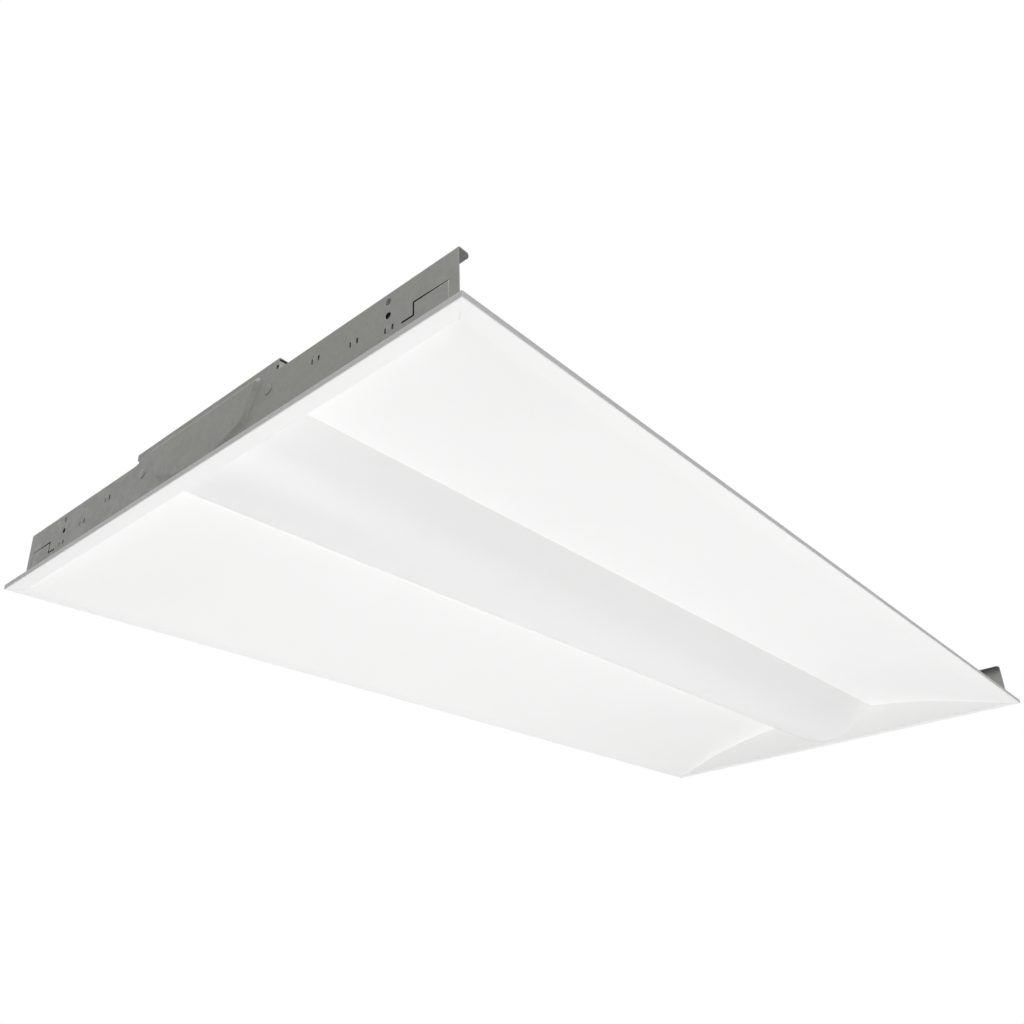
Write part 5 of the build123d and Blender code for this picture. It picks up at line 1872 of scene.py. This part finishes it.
@dataclass(frozen=True)
class PanScrew:
    """A pan-head or flat hexagon screw whose head rises from its seat at height 0."""

    head: float = 3.0 * MM
    height: float = 1.3 * MM
    shank: float = 1.4 * MM
    length: float = 4.0 * MM
    drive: Drive = Drive.CROSS
    hexagon: bool = False
    sides: int = 48
    head_steps: tuple[float, ...] = (0.12, 0.2, 0.32, 0.44, 0.54, 0.58, 0.72, 0.86, 0.96, 1.0)
    pan_fall: float = 0.45
    hex_fall: float = 0.12
    hex_from: float = 0.9
    recess_half: float = 0.38 * MM
    recess_deep: float = 0.75 * MM
    recess_rise: float = 0.5
    cross_reach: float = 0.55
    slot_reach: float = 0.9
    pitch: float = 0.7 * MM
    root: float = 0.84

    def top(self, radius: float, angle: float) -> float:
        """The head's height at a place on it, with its dome and its recess.

        Args:
            radius: Distance from the axis.
            angle: Direction in radians.

        Returns:
            Metres above the seat.
        """
        share = radius / self.head
        fall = self.hex_fall if self.hexagon else self.pan_fall
        dome = self.height * (1 - fall * share**3)
        across, reach = abs(math.sin(angle)) * radius, self.slot_reach
        if self.drive is Drive.CROSS:
            across, reach = min(across, abs(math.cos(angle)) * radius), self.cross_reach
        if across < self.recess_half and share < reach:
            return dome - self.recess_deep * (1 - self.recess_rise * share)
        return dome

    def shell(self) -> Shell:
        """The screw with its shank going down from the seat.

        Returns:
            The shell.
        """
        shell = Shell()
        sides, rings = self.sides, []
        middle = shell.point((0.0, 0.0, self.top(0.0, 0.0)))
        for share in self.head_steps:
            ring = []
            for side in range(sides):
                angle = 2 * math.pi * side / sides
                radius = self.head * share
                if self.hexagon and share > self.hex_from:
                    sector = (angle % (math.pi / 3)) - math.pi / 6
                    radius *= math.cos(math.pi / 6) / math.cos(sector)
                x, y = radius * math.cos(angle), radius * math.sin(angle)
                ring.append(shell.point((x, y, self.top(self.head * share, angle))))
            rings.append(ring)
        rings.append(shell.ring([(shell.points[i][0], shell.points[i][1], 0.0) for i in rings[-1]]))
        low, pitch, thread = self.shank * self.root, self.pitch, []
        turns = max(2, int(self.length / pitch))
        for turn in range(turns):
            z = -turn * pitch
            thread += [(low, z), (self.shank, z - 0.3 * pitch), (self.shank, z - 0.45 * pitch)]
        thread += [(low, -turns * pitch), (0.0, -turns * pitch)]
        for radius, z in thread:
            flat = circle(radius, sides) if radius > TINY else [(0.0, 0.0)]
            rings.append(shell.ring((x, y, z) for x, y in flat))
        for side in range(sides):
            shell.face((middle, rings[0][side], rings[0][(side + 1) % sides]))
        for upper, lower in zip(rings, rings[1:]):
            for side in range(sides):
                after = (side + 1) % sides
                corners = [upper[side], lower[side % len(lower)]]
                if len(lower) > 1:
                    corners.append(lower[after])
                shell.face((*corners, upper[after]))
        return shell


@dataclass
class FastenerSet:
    """All fasteners of one CAD node, each a copy of one pattern on its own seat."""

    node: str
    pattern: BlindRivet | PanScrew
    seats: list[Seat]
    coat: Coat
    slot: str
    body: str = "housing"
    spin: float = 0.7
    hex_spin: float = 0.15

    def build(self, paints: Paintbox) -> Piece:
        """Builds the set and lets it stand for the node.

        Args:
            paints: Where the finish comes from.

        Returns:
            The set's object.
        """
        pattern = self.pattern.shell()
        shell = Shell()
        for number, (seat, out) in enumerate(self.seats):
            turn = Vector(out).to_track_quat("Z", "Y").to_matrix().to_4x4()
            angle = self.spin * number
            if isinstance(self.pattern, PanScrew) and self.pattern.hexagon:
                angle = math.pi / 6 + self.hex_spin * number
            spin = Matrix.Rotation(angle, 4, "Z")
            shell.add(pattern, Matrix.Translation(seat) @ turn @ spin)
        made = shell.piece(f"{self.node}_detailed", [paints.get(self.coat)], 35.0)
        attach(made, self.body)
        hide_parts(self.node)
        return made


# ========================================
# Inside: channel, tray, boards, driver
# ========================================


@dataclass
class LightEngine:
    """White tray, four boards with their packages and solder, connectors and spring clips."""

    board_bottom: float = 58.75 * MM
    board_y: float = 36.0 * MM
    board_mid: float = 282.0 * MM
    package_count: int = 16
    package_pitch: float = 34.0 * MM
    package: Point = (3.5 * MM, 2.8 * MM, 0.7 * MM)
    pad: Point = (0.9 * MM, 2.2 * MM, 0.12 * MM)
    pad_gap: float = 0.05 * MM
    pad_soft: float = 0.05 * MM
    pad_sink: float = 0.01 * MM
    carried: tuple[tuple[str, Coat], ...] = (
        ("led_tray", Coat.WHITE),
        ("led_board_far_left", Coat.BOARD),
        ("led_board_far_right", Coat.BOARD),
        ("led_board_near_left", Coat.BOARD),
        ("led_board_near_right", Coat.BOARD),
        ("board_connectors", Coat.NYLON),
        ("lens_clips", Coat.SPRING),
        ("tray_spacers", Coat.NYLON),
    )

    def places(self) -> list[Flat]:
        """Where the packages sit on the four boards.

        Returns:
            The (x, y) of every package's middle.
        """
        found = []
        for end in SIDES:
            for side in SIDES:
                for i in range(self.package_count):
                    along = (i - (self.package_count - 1) / 2) * self.package_pitch
                    found.append((end * self.board_mid + along, side * self.board_y))
        return found

    def packages(self, paints: Paintbox) -> Piece:
        """Packages: a white body with a sloped cup full of gel, standing for the CAD blocks.

        Args:
            paints: Where the finishes come from.

        Returns:
            All packages as one object.
        """
        w, d, h = self.package[0] / 2, self.package[1] / 2, self.package[2]
        one = Shell()
        steps = ((1.0, 0.0), (1.0, -h + 0.06 * MM), (0.97, -h), (0.80, -h), (0.70, -h + 0.22 * MM))
        square = ((-1, -1), (1, -1), (1, 1), (-1, 1))
        rings = []
        for share, z in steps:
            rings.append(one.ring((x * w * share, y * d * share, z) for x, y in square))
        one.loft([ring[::-1] for ring in rings])
        one.face(rings[0])
        one.face(reversed(rings[-1]), 1)
        shell = Shell()
        for x, y in self.places():
            shell.add(one, Matrix.Translation((x, y, self.board_bottom)))
        coats = [paints.get(Coat.PACKAGE), paints.get(Coat.GEL)]
        made = shell.piece("led_packages_detailed", coats)
        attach(made, "housing")
        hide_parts("led_packages")
        return made

    def solder(self, paints: Paintbox) -> Piece:
        """A tinned pad at both ends of each package.

        Args:
            paints: Where the finish comes from.

        Returns:
            All pads as one object.
        """
        shell = Shell()
        long, wide, high = self.pad
        for x, y in self.places():
            for end in SIDES:
                mid = x + end * (self.package[0] / 2 + long / 2 + self.pad_gap)
                low = (mid - long / 2, y - wide / 2, self.board_bottom - high)
                top = (mid + long / 2, y + wide / 2, self.board_bottom + self.pad_sink)
                shell.add(block(low, top, self.pad_soft))
        made = shell.piece("solder_pads", [paints.get(Coat.SOLDER)])
        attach(made, "housing")
        return made

    def build(self, paints: Paintbox) -> list[Piece]:
        """Dresses the carried nodes and builds the small pieces.

        Args:
            paints: Where the finishes come from.

        Returns:
            The new objects.
        """
        for node, coat in self.carried:
            paints.paint_node(node, coat)
        return [self.packages(paints), self.solder(paints)]


@dataclass
class BackSide:
    """Channel, driver bay and driver: CAD sheet metal with broken edges and its own finishes."""

    carried: tuple[tuple[str, Coat], ...] = (
        ("channel", Coat.ZINC_INSIDE),
        ("driver_housing", Coat.ZINC_INSIDE),
        ("access_cover", Coat.ZINC_INSIDE),
        ("driver_base", Coat.ZINC_INSIDE),
        ("driver_case", Coat.DRIVER),
        ("driver_terminals", Coat.TERMINAL),
        ("wire_grommet", Coat.RUBBER),
    )
    sheared: tuple[str, ...] = ("channel", "driver_housing", "access_cover", "driver_base")
    sheared_edge: Flat = (0.18 * MM, 60.0)
    moulded: tuple[str, ...] = ("driver_case", "driver_terminals", "wire_grommet")
    moulded_edge: Flat = (0.25 * MM, 40.0)
    merge: float = 0.005 * MM
    web_top: float = 67.0 * MM
    bead_y: tuple[float, ...] = (-62.0 * MM, 62.0 * MM)
    bead_x: tuple[Flat, ...] = ((-0.505, -0.075), (0.075, 0.505))
    bead_half: float = 5.0 * MM
    bead_rise: float = 0.85 * MM
    bead_sink: float = 0.02 * MM
    bead_steps: int = 12
    bead_shares: tuple[float, ...] = (1.0, 0.86, 0.72, 0.56, 0.4, 0.22, 0.02)
    knockouts: tuple[Flat, ...] = ((-0.545, 0.0), (-0.47, 0.0), (0.47, 0.0), (0.545, 0.0))
    knockout_radius: float = 11.1 * MM
    knockout_sides: int = 40
    mark_sides: int = 24
    cover_top: float = 66.3 * MM
    cover_bead: tuple[Flat, Flat] = ((-0.165, 0.125), (0.1183, 0.1483))

    def bead(self, start: Flat, end: Flat, base: float) -> Shell:
        """A round-ended pressed rib that rises from a flat sheet.

        Args:
            start: Middle of its first round end in (x, y).
            end: Middle of its other end.
            base: The sheet's top.

        Returns:
            The open rib, set a hair into the sheet.
        """
        shell = Shell()
        heading = math.atan2(end[1] - start[1], end[0] - start[0])
        steps, rings = self.bead_steps, []
        for share in self.bead_shares:
            sink = self.bead_sink if share == 1.0 else 0.0
            height = base + self.bead_rise * (1 - smooth_step(share)) - sink
            reach, ring = self.bead_half * share, []
            for centre, turn in ((end, heading), (start, heading + math.pi)):
                for step in range(steps + 1):
                    angle = turn - math.pi / 2 + math.pi * step / steps
                    x, y = centre[0] + reach * math.cos(angle), centre[1] + reach * math.sin(angle)
                    ring.append(shell.point((x, y, height)))
            rings.append(ring)
        shell.loft(rings)
        shell.face(rings[-1])
        return shell

    def knockout(self) -> Shell:
        """A half-sheared disc with the punch's mark in its middle.

        Returns:
            The disc, with the sheet's top at height 0.
        """
        shell = Shell()
        r = self.knockout_radius
        disc = (
            (0.0, 0.4 * MM), (r - 0.5 * MM, 0.4 * MM), (r - 0.15 * MM, 0.33 * MM),
            (r, 0.15 * MM), (r, -0.02 * MM),
        )
        mark = ((0.0, 0.55 * MM), (1.6 * MM, 0.5 * MM), (2.0 * MM, 0.38 * MM))
        shell.add(revolved(disc, self.knockout_sides))
        shell.add(revolved(mark, self.mark_sides))
        return shell

    def pressings(self, paints: Paintbox) -> list[Piece]:
        """Stiffening ribs and half-sheared knock-outs on the channel and the cover.

        Args:
            paints: Where the finish comes from.

        Returns:
            One object for the channel and one for the cover.
        """
        web = Shell()
        for y in self.bead_y:
            for low, high in self.bead_x:
                web.add(self.bead((low, y), (high, y), self.web_top))
        for x, y in self.knockouts:
            web.add(self.knockout(), Matrix.Translation((x, y, self.web_top)))
        (x0, x1), across = self.cover_bead
        cover = Shell()
        for y in across:
            cover.add(self.bead((x0, y), (x1, y), self.cover_top))
        made = []
        parts = (("channel_pressings", web, "housing"), ("cover_pressings", cover, "access_cover"))
        for name, shell, body in parts:
            piece = shell.piece(name, [paints.get(Coat.ZINC_INSIDE)], 40.0)
            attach(piece, body)
            made.append(piece)
        return made

    def build(self, paints: Paintbox) -> list[Piece]:
        """Dresses every carried node.

        Args:
            paints: Where the finishes come from.

        Returns:
            The nodes' objects.
        """
        for node, coat in self.carried:
            paints.paint_node(node, coat)
        for nodes, edge in ((self.moulded, self.moulded_edge), (self.sheared, self.sheared_edge)):
            for node in nodes:
                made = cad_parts[node]
                join_points(made, self.merge)
                break_edges(made, *edge)
        return [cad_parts[node] for node, _ in self.carried] + self.pressings(paints)


# ========================================
# Studio
# ========================================


@dataclass
class Studio:
    """Pale floor, an even white surround, a large lamp below and a softer one above."""

    floor_z: float = -2.2
    floor_half: float = 14.0
    floor_tint: Tint = (0.80, 0.80, 0.80)
    floor_glow: float = 0.62
    floor_rim_glow: float = 0.9
    floor_fade: Flat = (3.0, 12.0)
    ambient: float = 0.15
    below_power: float = 49.8
    below_x: float = -0.15
    below_y: float = -0.2
    below_lift: float = 0.02
    below_size: float = 2.2
    above_place: Point = (-0.9, -0.7, 2.2)
    above_power: float = 60.0
    above_size: float = 3.0
    plain_white: tuple[float, float, float, float] = (1.0, 1.0, 1.0, 1.0)

    def shown_to_eye(self, tree: bpy.types.NodeTree) -> Socket:
        """1 for rays that show a thing directly, by reflection or through glass, else 0.

        Args:
            tree: The node tree that gets the nodes.

        Returns:
            The value socket.
        """
        path = tree.nodes.new("ShaderNodeLightPath")
        value = path.outputs["Is Camera Ray"]
        for ray in ("Is Glossy Ray", "Is Transmission Ray"):
            either = tree.nodes.new("ShaderNodeMath")
            either.operation = "MAXIMUM"
            tree.links.new(value, either.inputs[0])
            tree.links.new(path.outputs[ray], either.inputs[1])
            value = either.outputs["Value"]
        return value

    def world(self) -> None:
        """White where the camera or a reflection sees it, and an even fill elsewhere."""
        world = bpy.data.worlds.new("surround")
        world.use_nodes = True
        tree = world.node_tree
        tree.nodes.clear()
        output = tree.nodes.new("ShaderNodeOutputWorld")
        seen = tree.nodes.new("ShaderNodeBackground")
        seen.inputs["Color"].default_value = self.plain_white
        fill = tree.nodes.new("ShaderNodeBackground")
        fill.inputs["Color"].default_value = self.plain_white
        fill.inputs["Strength"].default_value = self.ambient
        mix = tree.nodes.new("ShaderNodeMixShader")
        tree.links.new(self.shown_to_eye(tree), mix.inputs["Fac"])
        tree.links.new(fill.outputs["Background"], mix.inputs[1])
        tree.links.new(seen.outputs["Background"], mix.inputs[2])
        tree.links.new(mix.outputs["Shader"], output.inputs["Surface"])
        bpy.context.scene.world = world

    def floor(self) -> Piece:
        """The floor below the hanging fixture.

        Returns:
            The floor's object.
        """
        shell = Shell()
        half, z = self.floor_half, self.floor_z
        square = ((-half, -half, z), (half, -half, z), (half, half, z), (-half, half, z))
        shell.face(shell.ring(square))
        g = Graph("pale_floor")
        mottled = g.even(g.noise(1.3, 3.0))
        g.colour(g.blend(mottled, shade(self.floor_tint, 0.985), self.floor_tint))
        g.steady(Roughness=0.9)
        g.shader.inputs["Emission Color"].default_value = self.plain_white
        away = g.tree.nodes.new("ShaderNodeVectorMath")
        away.operation = "LENGTH"
        g.link(g.place, away.inputs[0])
        glow = (self.floor_glow, self.floor_rim_glow)
        paler = g.span(away.outputs["Value"], *self.floor_fade, glow)
        seen = g.sum(self.shown_to_eye(g.tree), paler, "MULTIPLY")
        g.link(seen, g.shader.inputs["Emission Strength"])
        made = shell.piece("studio_floor", [g.material])
        return made

    def lamp(self, name: str, place: Point, aim: Point, size: float, power: float) -> Piece:
        """A square soft lamp that the camera doesn't see.

        Args:
            name: Its name.
            place: Where it hangs.
            aim: What it points at.
            size: Its side in metres.
            power: Watts.

        Returns:
            The lamp's object.
        """
        data = bpy.data.lights.new(name, "AREA")
        data.shape = "SQUARE"
        data.size = size
        data.energy = power
        made = bpy.data.objects.new(name, data)
        made.location = place
        made.rotation_mode = "QUATERNION"
        made.rotation_quaternion = (Vector(aim) - Vector(place)).to_track_quat("-Z", "Y")
        made.visible_camera = False
        bpy.context.scene.collection.objects.link(made)
        return made

    def build(self) -> None:
        """Sets up world, floor and lamps."""
        self.world()
        self.floor()
        x, y, above = self.below_x, self.below_y, self.above_place
        below = (x, y, self.floor_z + self.below_lift)
        self.lamp("lamp_below", below, (x, y, 0.0), self.below_size, self.below_power)
        self.lamp("lamp_above", above, (0.0, 0.0, 0.0), self.above_size, self.above_power)


@dataclass
class Viewpoint:
    """The photograph's camera, solved from the flange's four corners."""

    place: Point = (-0.93948, -0.61434, -0.40293)
    forward: Point = (0.714601, 0.550473, 0.431654)
    right: Point = (0.629171, -0.775482, -0.052644)
    sensor: float = 36.0
    lens: float = 33.768
    shift: Flat = (-0.0382, 0.0531)
    clip: Flat = (0.05, 60.0)

    def build(self) -> Piece:
        """Makes the camera and hands it to the scene.

        Returns:
            The camera's object.
        """
        data = bpy.data.cameras.new("photo_camera")
        data.sensor_width = self.sensor
        data.lens = self.lens
        data.shift_x, data.shift_y = self.shift
        data.clip_start, data.clip_end = self.clip
        back = -Vector(self.forward).normalized()
        right = Vector(self.right).normalized()
        up = back.cross(right)
        made = bpy.data.objects.new("photo_camera", data)
        turn = Matrix((right, up, back)).transposed().to_4x4()
        made.matrix_world = Matrix.Translation(self.place) @ turn
        bpy.context.scene.collection.objects.link(made)
        bpy.context.scene.camera = made
        return made


# ========================================
# Putting it together
# ========================================


@dataclass(frozen=True)
class FastenerPlan:
    """Where every screw and rivet sits and which way its head faces."""

    lip_x: tuple[float, ...] = (-520.0, -260.0, 0.0, 260.0, 520.0)
    lip_yz: Flat = (85.584, 48.7)
    spring_x: tuple[float, ...] = (-420.0, -140.0, 140.0, 420.0)
    spring_yz: Flat = (78.584, 52.6)
    wall_x: tuple[float, ...] = (-197.8, -69.0, 69.0, 170.2)
    wall_yz: Flat = (99.4, 59.0)
    board_x: tuple[float, ...] = (44.0, 282.0, 520.0)
    board_yz: Flat = (36.0, 58.75)
    tray_x: tuple[float, ...] = (-400.0, 0.0, 400.0)
    tray_yz: Flat = (12.0, 60.4)
    cover_x: tuple[float, ...] = (225.0, -225.0)
    cover_yz: Flat = (133.3, 66.35)
    driver_x: tuple[float, ...] = (-196.0, 136.0)
    driver_yz: Flat = (133.3, 42.9)
    earth: Point = (200.0, 112.6, 41.85)

    def row(self, along: Iterable[float], yz: Flat, facing: Point, side: int = 1) -> list[Seat]:
        """Seats in metres, with the way their heads face, at places along one side."""
        return [((x * MM, side * yz[0] * MM, yz[1] * MM), facing) for x in along]

    def sets(self) -> list[FastenerSet]:
        """All sets.

        Returns:
            The sets in the order they are built.
        """
        up, down, left = (0.0, 0.0, 1.0), (0.0, 0.0, -1.0), (0.0, 1.0, 0.0)
        lips, springs, boards, tray = [], [], [], []
        for side in SIDES:
            lips += self.row(self.lip_x, self.lip_yz, (0.0, -side, 0.0), side)
        for end in SIDES:
            for side in SIDES:
                boards += self.row([end * x for x in self.board_x], self.board_yz, down, side)
        for x in self.spring_x:
            for side in SIDES:
                springs += self.row([x], self.spring_yz, down, side)
        for x in self.tray_x:
            for side in SIDES:
                tray += self.row([x], self.tray_yz, down, side)
        wall = self.row(self.wall_x, self.wall_yz, left)
        cover = self.row(self.cover_x, self.cover_yz, up)
        driver = self.row(self.driver_x, self.driver_yz, up)
        earth = self.row(self.earth[:1], self.earth[1:], up)
        hexagon = PanScrew(drive=Drive.SLOT, hexagon=True, length=3.5 * MM)
        earth_screw = PanScrew(head=3.6 * MM, drive=Drive.SLOT, hexagon=True, length=2.1 * MM)
        return [
            FastenerSet("lip_rivets", BlindRivet(grip=1.45 * MM), lips, Coat.RIVET, "rivet_metal"),
            FastenerSet("clip_rivets", BlindRivet(grip=1.15 * MM), springs, Coat.RIVET, "rivet_metal"),
            FastenerSet("housing_rivets", BlindRivet(grip=1.7 * MM), wall, Coat.RIVET, "rivet_metal"),
            FastenerSet("board_screws", PanScrew(length=2.8 * MM), boards, Coat.SCREW, "screw_zinc"),
            FastenerSet("tray_screws", PanScrew(length=7.0 * MM), tray, Coat.SCREW, "screw_zinc"),
            FastenerSet("cover_screws", hexagon, cover, Coat.SCREW, "screw_zinc", "access_cover"),
            FastenerSet("driver_screws", hexagon, driver, Coat.SCREW, "screw_zinc"),
            FastenerSet("ground_screw", earth_screw, earth, Coat.EARTH, "ground_green"),
        ]


def corners(box: tuple[Vector, Vector]) -> list[list[float]]:
    """A box as plain lists of numbers."""
    return [list(box[0]), list(box[1])]


def main() -> None:
    """Builds every sub-assembly in order, then the studio and the camera."""
    logging.basicConfig(level=logging.INFO, format="%(message)s")
    bpy.context.scene.view_settings.view_transform = "Standard"
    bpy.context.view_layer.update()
    paints = Paintbox()
    makers = [
        ReflectorWing(1),
        ReflectorWing(-1),
        EndReflector(1),
        EndReflector(-1),
        EndPlate(1),
        EndPlate(-1),
        ShadePad(1),
        ShadePad(-1),
        GridClip("grid_clip_far_left"),
        GridClip("grid_clip_far_right"),
        GridClip("grid_clip_near_left"),
        GridClip("grid_clip_near_right"),
        BulgedLens(),
        LightEngine(),
        BackSide(),
        *FastenerPlan().sets(),
    ]
    for maker in makers:
        made = maker.build(paints)
        for piece in made if isinstance(made, list) else [made]:
            LOG.info("built %s, %d faces", piece.name, len(piece.data.polygons))
    Studio().build()
    Viewpoint().build()


if __name__ == "__main__":
    main()
